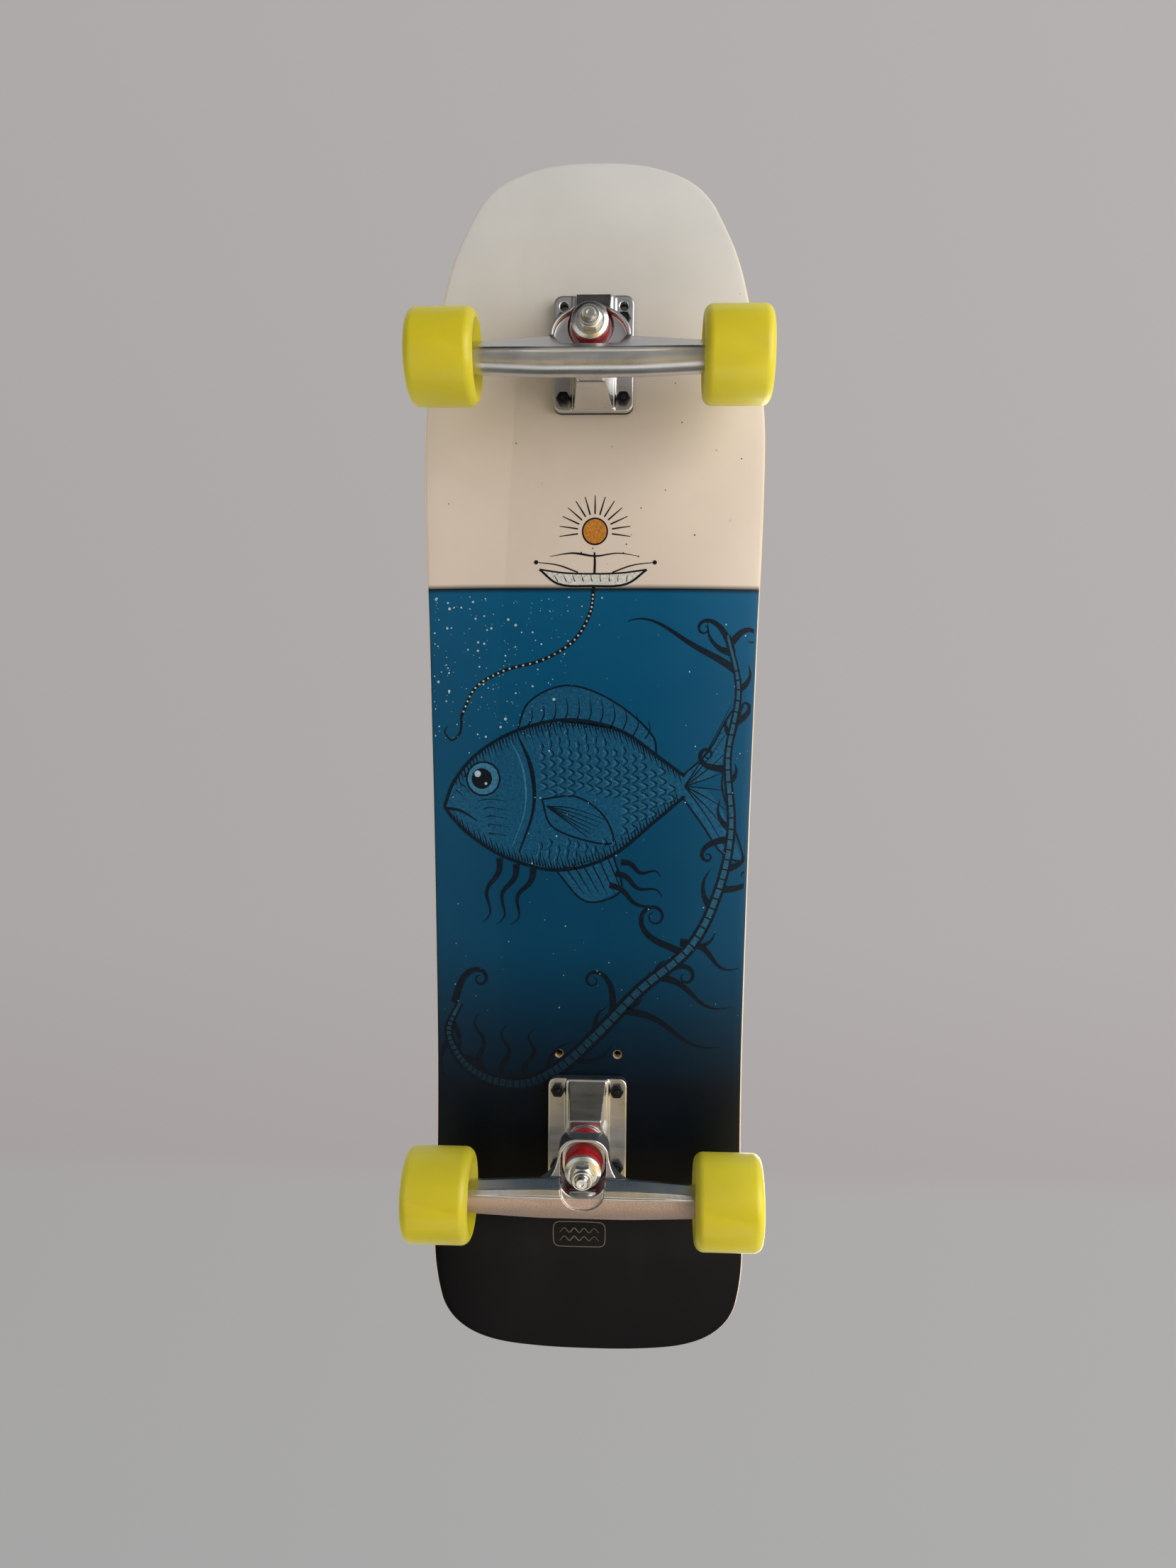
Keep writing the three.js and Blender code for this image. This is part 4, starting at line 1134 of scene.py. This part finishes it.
# A beam's section at its middle, about the axle: (towards the kingpin, away from the deck).
FRONT_SECTION = [
    (13.5, -1.5), (3.6, 9.2), (2.6, 10.2), (1, 10.2), (0, 9),
    *through([(-1, 9), (-6, 8.4), (-10, 6), (-12.4, 2.2), (-12.8, -1.8)], 4),
    *through([(-11.8, -6.2), (-8.4, -9.9), (-3, -12), (4, -12), (10.4, -8.6)], 3),
]
REAR_SECTION = [
    (13.2, 1.5), (8.8, 10.2), (4.4, 10.2), (3.4, 8.7),
    *through([(2.6, 8.6), (-4, 7.6), (-9, 5.4), (-12.9, 2.4)], 4),
    *through([(-13, 0.8), (-10.6, -7), (-4, -11.4), (5, -11.4), (11, -6.6)], 4),
]
BEAM_MIDDLE = 27
BEAM_END_RADIUS = 10.4


def beam(truck, section):
    """It keeps its middle section under the yoke and draws in to a round end."""
    half = [BEAM_MIDDLE + (HANGER_HALF - BEAM_MIDDLE) * k / 12 for k in range(13)]
    sections = []
    for x in [-x for x in reversed(half)] + half:
        along = max(0, abs(x) - BEAM_MIDDLE) / (HANGER_HALF - BEAM_MIDDLE)
        blend = along**1.15
        points = []
        for dy, dz in section:
            angle = math.atan2(dz + 0.4, dy + 0.5)
            end = (BEAM_END_RADIUS * math.cos(angle) - 0.5, BEAM_END_RADIUS * math.sin(angle) - 0.4)
            y, z = dy + (end[0] - dy) * blend, dz + (end[1] - dz) * blend
            points.append((x, truck.axle + truck.yoke_side * y, AXLE_HEIGHT + z))
        sections.append(points)
    return loft(sections)


def bent(start, bend, end, s):
    """A number on a quadratic curve, at s from 0 to 1."""
    return (1 - s) ** 2 * start + 2 * s * (1 - s) * bend + s**2 * end


def pivot_nose(truck, neck, length):
    ball = arc(0, 0, (4.6, 4.6), -90, 0, 8)
    return moved(turned([*ball, (neck, length), (0, length)]), truck.on_steering)


def rear_yoke_outline(wing):
    side, crown, corner, foot = 16.8, 18.6, 12.5, -13
    shoulder = crown - corner
    right = []
    for s in np.linspace(0, 1, 11):
        right.append((bent(wing, side + 1.8, side, s), bent(foot, foot / 2, shoulder, s)))
    right += arc(side - corner, shoulder, (corner, corner), 0, 90, 12)[1:]
    return right + [(-x, y) for x, y in reversed(right)]


def make_rear_hanger():
    truck = REAR
    low, wings_from, high = 14.8, 24, 46
    side = [(-17.6, 36), (-17.6, 61), (-31, 59.6), (-42.4, 61.2), (-46.6, 70.6), (-57, 70.6), (-57, 36)]
    cup = moved(prism(rear_yoke_outline(15.5), low, high), truck.on_kingpin)
    wings = moved(prism(rear_yoke_outline(30), wings_from, high), truck.on_kingpin)
    yoke = shared(join(cup, wings), side_profile(side, 40))
    back, top = [(-49.2, 27), (-48.2, 30), (-48.2, 44), (-37, 48)], [(-37, 56), (-62, 56)]
    neck = side_profile([*back, *top, (-63.5, 50), (-57.4, 35)], 6.4)
    body = join(yoke, beam(truck, REAR_SECTION), neck, pivot_nose(truck, 5.4, 12))
    well = moved(prism(rounded_rectangle(14.8, -14.6, 16.3, 11.5), STACK["web_top"], 70), truck.on_kingpin)
    scoop = rounded_rectangle(14.3, truck.axle - 5.4, truck.axle + 40, 13)
    return cut(
        body,
        cut(well, axle_rod(truck, AXLE_BORE + 1.1, 40)),
        prism(scoop, AXLE_HEIGHT + 6.2, 90),
        *hanger_bores(truck),
    )


def dish(half_x, half_y, middle_at, foot, foot_half):
    return [*arc(0, middle_at, (half_x, half_y), 180, 360, 36), (foot_half, foot), (-foot_half, foot)]


def make_front_hanger():
    truck = FRONT
    low, dish_from, floor_at, high, middle_at = 14.8, 22, 28, 33.6, 6.5
    beam_y = truck.axle - truck.seat[0]
    rim = moved(prism(dish(26.2, 18.8, middle_at, beam_y - 3, 33), dish_from, high), truck.on_kingpin)
    stem = [(-13, 0), (13, 0), (13, beam_y - 3), (-13, beam_y - 3)]
    under = join(
        kingpin_rod(truck, 17.6, low, dish_from + 1),
        moved(prism(stem, low, dish_from + 1), truck.on_kingpin),
    )
    pocket = steering_rod(truck, PIVOT_CUP + 2.9, -9.6, 3.4)
    body = cut(join(rim, under, beam(truck, FRONT_SECTION)), pocket)
    return cut(
        join(body, pivot_nose(truck, 5.6, 10)),
        moved(prism(dish(24, 16.7, middle_at, beam_y - 6.4, 18.5), floor_at, 70), truck.on_kingpin),
        kingpin_rod(truck, 14.7, STACK["web_top"], 70),
        *hanger_bores(truck),
    )


def eased(value, low, high):
    t = min(1, max(0, (value - low) / (high - low)))
    return t * t * (3 - 2 * t)


def mark_sand_and_reflection(made, truck):
    """The rear beam's outer face, picked by which way it faces, is left grainy as it came from the sand; its
    beige-pink tint is a painted warm reflection.
    """
    values = []
    for vertex in made.data.vertices:
        outward = truck.axle - vertex.co.y
        sand_and_reflection_amount = eased(outward, -2.6, -1.4) * eased(vertex.normal.z, -0.1, 0.15)
        sand_and_reflection_amount *= 1 - eased(vertex.normal.y, 0.3, 0.5)
        in_beam = abs(vertex.co.z - AXLE_HEIGHT) < 10.8
        values.append(sand_and_reflection_amount if truck is REAR and in_beam else 0.0)
    mark(made, "sand_and_reflection", values)


def make_castings(truck, baseplate, hanger):
    name = truck.name
    base = moved(cast(baseplate, 0.45), truck.place)
    add(base, f"{name}_baseplate_casting", "root", CAST, [f"{name}_baseplate"], crease=0)
    mark_sand_and_reflection(cast(hanger, 0.42), truck)
    moved(hanger, truck.place)
    body = f"{name}_hanger_body"
    add(hanger, f"{name}_hanger_casting", body, CAST, [f"{name}_hanger"], crease=0)


# ---- kingpin stack


def threads(radius, low, high, pitch=1.25, deep=0.45):
    """A profile's threaded stretch, from low to high."""
    made = []
    for k in range(round((high - low) / pitch)):
        at = low + k * pitch
        made += [(radius - deep, at), (radius, at + 0.45 * pitch), (radius, at + 0.6 * pitch)]
    return made


def hexagon(flats):
    corner = flats / 2 / math.cos(math.pi / 6)
    return [(corner * math.cos(a), corner * math.sin(a)) for a in np.radians(np.arange(0, 360, 60))]


def lock_nut(flats, bore, low, height, collar):
    """A nut whose corners are turned off at both faces, under a collar that holds the nylon."""
    high, shoulder = low + height, low + height - collar
    corner, chamfer = flats / 2 / math.cos(math.pi / 6) + 0.1, 0.14 * flats * 0.5
    turned_off = [
        (0, low), (flats / 2 - 0.3, low), (corner, low + chamfer),
        (corner, shoulder - chamfer), (flats / 2 - 0.3, shoulder), (0, shoulder),
    ]
    body = shared(prism(hexagon(flats), low, shoulder), turned(turned_off, 96))
    neck = flats / 2 - 0.45
    collar_profile = [(bore, shoulder - 0.5), (neck, shoulder - 0.5), (neck, high), (bore + 0.9, high)]
    closed = [*softened(collar_profile, 0.7), (bore + 0.7, high - 0.5), (bore, high - 0.6)]
    crown = turned([*closed, closed[0]])
    cut(body, rod(bore, low - 1, high + 1))
    return bevelled(join(body, crown), 0.12)


def cup_washer():
    r, low, bore = WASHER_RADIUS, STACK["road_washer"], KINGPIN_RADIUS + 0.2
    profile = softened(
        [
            (bore + 2, low), (r - 1.7, low), (r - 1.1, low - 1.6), (r, low - 1.6), (r, low + 0.6),
            (r - 2.6, low + 1.8), (bore, low + 1.8), (bore, low), (bore + 2, low),
        ],
        0.5,
    )
    return turned(profile, 96)


def bushing_mesh(low, high, radii):
    """A barrel whose bore runs through, with bands between its ends."""
    foot, waist, top = radii
    bore = 5.2
    wall = [(foot, low), (foot + (waist - foot) * 0.75, low + (high - low) * 0.25), (waist, (low + high) / 2)]
    wall += [(top + (waist - top) * 0.75, high - (high - low) * 0.25), (top, high)]
    outer = through(wall, 5)
    profile = [(bore + 2, low), (foot - 0.9, low), (foot - 0.25, low + 0.25), *outer[1:-1]]
    profile += [(top - 0.25, high - 0.25), (top - 0.9, high), (bore, high)]
    inner = [(bore, high + (low - high) * k / 6) for k in range(1, 7)]
    return turned([*profile, *inner, (bore + 2, low)], 96)


def make_stack(truck):
    name, place = truck.name, truck.place @ truck.on_kingpin
    foot = truck.seat[1] / math.cos(math.radians(truck.lean)) - RISER - 1.4
    r, threaded, tip = KINGPIN_RADIUS, 36, STACK["tip"]
    profile = [(0, -foot), (r, -foot), (r, threaded), *threads(r, threaded, tip - 1.6), (r - 0.4, tip - 1.4)]
    pin = turned([*profile, (r - 1.3, tip), (1.6, tip), (1.1, tip - 0.5), (0, tip - 0.6)], 64)
    flat = ring(r + 0.3, WASHER_RADIUS - 0.1, 0.2, 2, 0.4, 96)
    cup = cup_washer()
    top_nut = lock_nut(flats=14.3, bore=r + 0.15, low=STACK["nut"], height=9, collar=2.4)
    for made, label, stands_for in (
        (pin, "kingpin_steel", "kingpin"),
        (flat, "flat_washer", "boardside_washer"),
        (cup, "cup_washer", "roadside_washer"),
        (top_nut, "top_nut", "kingpin_nut"),
    ):
        add(moved(made, place), f"{name}_{label}", "root", ZINC, [f"{name}_{stands_for}"])

    # Each row lists a bushing's side, ends, radii, and the heights `fixed` and `free`: on the real truck it
    # stays still up to the first and moves with the hanger from the second. Here each barrel stays where it
    # is made.
    for side, low, high, radii, fixed, free in (
        ("boardside", 2.05, STACK["web"] - 0.05, (11.6, 12.9, 12.5), 2.6, 15.4),
        ("roadside", STACK["web_top"] + 0.05, STACK["road_washer"] - 0.05, (12.7, 12.3, 10.2), 37.8, 24.9),
    ):
        barrel = moved(bushing_mesh(low, high, radii), place)
        look(barrel, f"{name}_{side}_barrel", RED)
        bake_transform(barrel)
        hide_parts(f"{name}_{side}_bushing")


def make_pivot_cup(truck):
    r, outside = 4.7, PIVOT_CUP
    bowl = [(r * math.sin(a), -r * math.cos(a)) for a in np.radians(np.arange(90, -1, -15))]
    profile = [(0, -5.9), (outside - 0.8, -5.9), (outside, -5.1), (outside, 1.8), (r + 0.5, 1.8), *bowl]
    made = moved(turned(profile, 64), truck.place @ truck.on_steering)
    add(made, f"{truck.name}_pivot_bowl", "root", NYLON, [f"{truck.name}_pivot_cup"])


# ---- bolts


def make_bolts(truck):
    r, head, low, tip = SCREW["radius"], SCREW["head"], SCREW["low"], SCREW["tip"]
    profile = [(0, low), (head - 0.3, low), (head, low + 0.3), (head - 0.1, low + 0.7), (r, low + 3.1)]
    profile += [(r, 3), *threads(r, 3, tip - 0.8, 0.8, 0.3), (2.1, tip - 0.5), (1.6, tip), (0, tip)]
    for row, along in zip(("inner", "outer"), BOLT_ROWS):
        for x in (-BOLT_X, BOLT_X):
            side = "left" if x * truck.ahead > 0 else "right"
            label = f"{truck.name}_{row}_{side}"
            place = truck.place @ shift(x, along)
            screw = cut(turned(profile, 48), prism(hexagon(SCREW["socket"]), low - 1, low + 1.9))
            add(moved(screw, place), f"{label}_screw", "root", BLACK, [f"{label}_bolt"])
            top = lock_nut(flats=8.7, bore=r + 0.05, low=FLANGE_TOP + 0.05, height=5.1, collar=1.7)
            add(moved(top, place), f"{label}_black_nut", "root", BLACK, [f"{label}_lock_nut"])


# ---- axles and wheels


def make_axle(truck):
    half, threaded, r = 115.8, 108.6, AXLE_RADIUS
    end = [(r, HANGER_HALF), (r, threaded), *threads(r, threaded, half - 1, 1.0, 0.4)]
    end += [(r - 0.9, half), (0, half)]
    profile = [(x, -z) for x, z in reversed(end)] + end
    made = moved(turned(profile, 56), truck.place @ truck.along_axle())
    add(made, f"{truck.name}_axle_bar", f"{truck.name}_hanger_body", STEEL, [f"{truck.name}_axle"])


def wheel_profile():
    inner, outer, radius, lip, corner = 72.5, 116.5, 31, 24.2, 6.2
    width, seat, shoulder = BEARING["width"], BEARING["outside"] + 0.05, 9
    seat_inner = BEARING["inner_at"]
    seat_outer = seat_inner + 2 * width + BEARING["spacer"]
    angles = np.radians(np.arange(0, 91, 9))
    edge = [(radius - corner * (1 - math.sin(a)), corner * (1 - math.cos(a))) for a in angles]
    tread = [(edge[0][0] - 0.12, edge[0][1]), *edge[1:]]
    near = [(lip, inner + 0.35), (lip + 0.3, inner + 0.05), *[(r, inner + h) for r, h in tread]]
    far = [(r, outer - h) for r, h in reversed(tread)] + [(lip + 0.3, outer - 0.05), (lip, outer - 0.35)]
    face = [far[-1], (20.6, outer - 3.2), (17.4, seat_outer - 1.2), (seat + 1.2, seat_outer - 0.3)]
    hollow = softened(face, 3)
    back = [(r, inner + outer - h) for r, h in reversed(hollow)]
    middle_part = [
        (seat, seat_outer - 0.3), (seat, seat_outer - width), (shoulder, seat_outer - width),
        (shoulder, seat_inner + width), (seat, seat_inner + width), (seat, seat_inner + 0.3),
    ]
    return [*near, *far, *hollow[1:], *middle_part, (seat + 1.2, seat_inner + 0.3), *back[:-1], near[0]]


def bearing_parts(low):
    """The two races, and the dark shield between them."""
    b, o, high = BEARING["bore"], BEARING["outside"], low + BEARING["width"]
    races = [ring(b, RACES[0], low, high, 0.35), ring(RACES[1], o, low, high, 0.35)]
    shield = ring(RACES[0] - 0.1, RACES[1] + 0.1, low + 0.35, high - 0.35, 0.2)
    return races, shield


def make_wheel(truck, side):
    label = f"{truck.name}_{'left' if side * truck.ahead > 0 else 'right'}"
    place, body = truck.place @ truck.along_axle(side), f"{label}_wheel_body"
    fixed = f"{truck.name}_hanger_body"
    tyre = moved(turned(wheel_profile(), 160), place)
    add(tyre, f"{label}_urethane", body, URETHANE, [f"{label}_wheel"], crease=48)
    first = BEARING["inner_at"]
    second = first + BEARING["width"] + BEARING["spacer"]
    for which, low in (("inner", first), ("outer", second)):
        races, shield = bearing_parts(low)
        rings = moved(join(*races), place)
        add(rings, f"{label}_{which}_races", body, STEEL, [f"{label}_{which}_bearing"])
        add(moved(shield, place), f"{label}_{which}_shield", body, SHIELD)
    spacer = moved(ring(4.1, 5.2, first + 7.1, second - 0.1), place)
    add(spacer, f"{label}_spacer_tube", fixed, STEEL, [f"{label}_bearing_spacer"])
    for where, low in (("inner", first - 0.75), ("outer", second + 7.05)):
        speed = moved(ring(4.1, 6.2, low, low + 0.7, 0.2), place)
        add(speed, f"{label}_{where}_speed_washer", fixed, ZINC)
    end_nut = lock_nut(flats=12.7, bore=AXLE_RADIUS + 0.1, low=second + 7.8, height=6.9, collar=1.9)
    add(moved(end_nut, place), f"{label}_end_nut", fixed, ZINC, [f"{label}_axle_nut"])


# ---- the whole board


def make_truck(truck, baseplate, hanger):
    make_riser(truck)
    make_castings(truck, baseplate(), hanger())
    make_stack(truck)
    make_pivot_cup(truck)
    make_bolts(truck)
    make_axle(truck)
    for side in (-1, 1):
        make_wheel(truck, side)


make_deck()
make_grip()
make_artwork()
make_truck(FRONT, make_front_baseplate, make_front_hanger)
make_truck(REAR, make_rear_baseplate, make_rear_hanger)

# ---- stage, light and camera

SEAM = 0.305  # where the backdrop's two tones meet, on the way from the tail to the nose


def one_sided(name, tone):
    """Plain from its front and clear from behind, so that a view from below sees through it."""
    skin = Surface(name, base_color=tone, roughness=0.6)
    behind = skin.node("ShaderNodeNewGeometry").outputs["Backfacing"]
    clear = skin.node("ShaderNodeBsdfTransparent").outputs[0]
    both = skin.node("ShaderNodeMixShader", {0: behind, 1: skin.shader.outputs[0], 2: clear}).outputs[0]
    skin.feed(skin.tree.nodes["Material Output"].inputs["Surface"], both)
    return skin.material


def make_floor():
    reach = 60
    corners = [(-reach, -reach, 0), (reach, -reach, 0), (reach, reach, 0), (-reach, reach, 0)]
    floor = mesh_object("floor", corners, [(0, 1, 2, 3)])
    floor.data.materials.append(one_sided("pale_floor", linear(200, 199, 197)))
    floor.visible_shadow = floor.visible_glossy = False


def backdrop(sky, x, y, z):
    """The wall that is seen round the board, with painted shade near the floor and painted light from the
    window's side.
    """
    plain = linear(178, 175, 174)
    # Painted shade: just past where floor and wall meet the wall is darker, and it lightens from there
    # towards the nose's side.
    stops = [(0, linear(168, 170, 169)), (SEAM, linear(171, 169, 168)), (SEAM + 0.012, linear(170, 165, 164))]
    stops += [(0.42, linear(175, 171, 170)), (1, plain)]
    below = sky.ramp(sky.spread(sky.calculated("DIVIDE", y, z), 0, 1, -0.97, 0.97), stops)
    wall = sky.mixed(sky.spread(z, 0, 1, 0.6, 0.7), plain, below)
    # Painted light: the backdrop is brighter towards the window's side and darker away from it.
    wall = sky.mixed(1.0, wall, sky.spread(x, 1.06, 0.94, -0.5, 0.5), "MULTIPLY")
    return sky.node("ShaderNodeBackground", {"Color": wall, "Strength": 1.0}).outputs[0]


def studio(sky, x, y, z):
    """What lights the board from all round: brightest from its left, warm from behind, even from above."""
    sides = [(0, 0.25), (0.45, 0.5), (0.55, 0.8), (0.66, 1.9), (0.78, 2.8), (0.88, 2.9), (1, 1.8)]
    warm = (1.45, 1.05, 0.45, 1)
    rise = [(0, 0.35), (0.14, 0.45), (0.28, warm), (0.42, warm), (0.48, 0.75), (0.57, 0.7), (0.66, 1.3)]
    rise += [(0.74, 0.9), (0.84, 0.15), (1, 0.12)]
    glow, along = sky.ramp(sky.spread(x, 1, 0, -1, 1), sides), sky.ramp(sky.spread(y, 0, 1, -1, 1), rise)
    glow = sky.mixed(1.0, glow, along, "MULTIPLY")
    glow = sky.mixed(sky.spread(z, 0, 1, 0.1, 0.4), glow, (1.85, 1.83, 1.8, 1))
    return sky.node("ShaderNodeBackground", {"Color": glow, "Strength": 0.36}).outputs[0]


def make_world():
    world = bpy.data.worlds.new("studio")
    world.use_nodes = True
    world.node_tree.nodes.clear()
    sky = Nodes(world.node_tree)
    direction = sky.node("ShaderNodeTexCoord").outputs["Generated"]
    x, y, z = (sky.part_of(direction, letter) for letter in "XYZ")
    seen = sky.node("ShaderNodeLightPath").outputs["Is Camera Ray"]
    both = {0: seen, 1: studio(sky, x, y, z), 2: backdrop(sky, x, y, z)}
    sky.node("ShaderNodeOutputWorld", {"Surface": sky.node("ShaderNodeMixShader", both).outputs[0]})
    bpy.context.scene.world = world


def softbox(name, where, size, power, tone):
    lamp = bpy.data.lights.new(name, "AREA")
    lamp.shape = "RECTANGLE"
    lamp.size, lamp.size_y = size
    lamp.energy = power
    lamp.color = tone
    made = bpy.data.objects.new(name, lamp)
    bpy.context.collection.objects.link(made)
    made.location = where
    made.rotation_mode = "QUATERNION"
    made.rotation_quaternion = Vector(where).to_track_quat("Z", "Y")
    made.visible_camera = False


def make_camera(focal_length, place, yaw, pitch, roll):
    lens = bpy.data.cameras.new("camera")
    lens.lens = focal_length
    made = bpy.data.objects.new("camera", lens)
    bpy.context.collection.objects.link(made)
    turns = ((math.pi - math.radians(yaw), "Y"), (-math.radians(pitch), "X"), (-math.radians(roll), "Z"))
    aim = Matrix.Identity(4)
    for angle, axis in turns:
        aim = aim @ Matrix.Rotation(angle, 4, axis)
    made.matrix_world = Matrix.Translation(place) @ aim
    bpy.context.scene.camera = made


make_floor()
make_world()
softbox("window", where=(-1.6, 0.45, -1.15), size=(1.8, 2.0), power=32, tone=(1.0, 0.99, 0.985))
softbox("room", where=(1.2, -0.2, -1.6), size=(1.6, 1.6), power=5, tone=(0.94, 0.97, 1.0))
softbox("bounce", where=(-0.3, -1.6, -1.1), size=(2.0, 1.0), power=6, tone=(1.0, 0.96, 0.9))
softbox("ceiling", where=(-0.7, -0.8, 2.2), size=(1.8, 1.8), power=36, tone=(1.0, 0.98, 0.96))
make_camera(26.96, (-0.03674, 0.01426, -0.730), yaw=-2.677, pitch=1.616, roll=-0.486)
bpy.context.scene.view_settings.view_transform = "Standard"
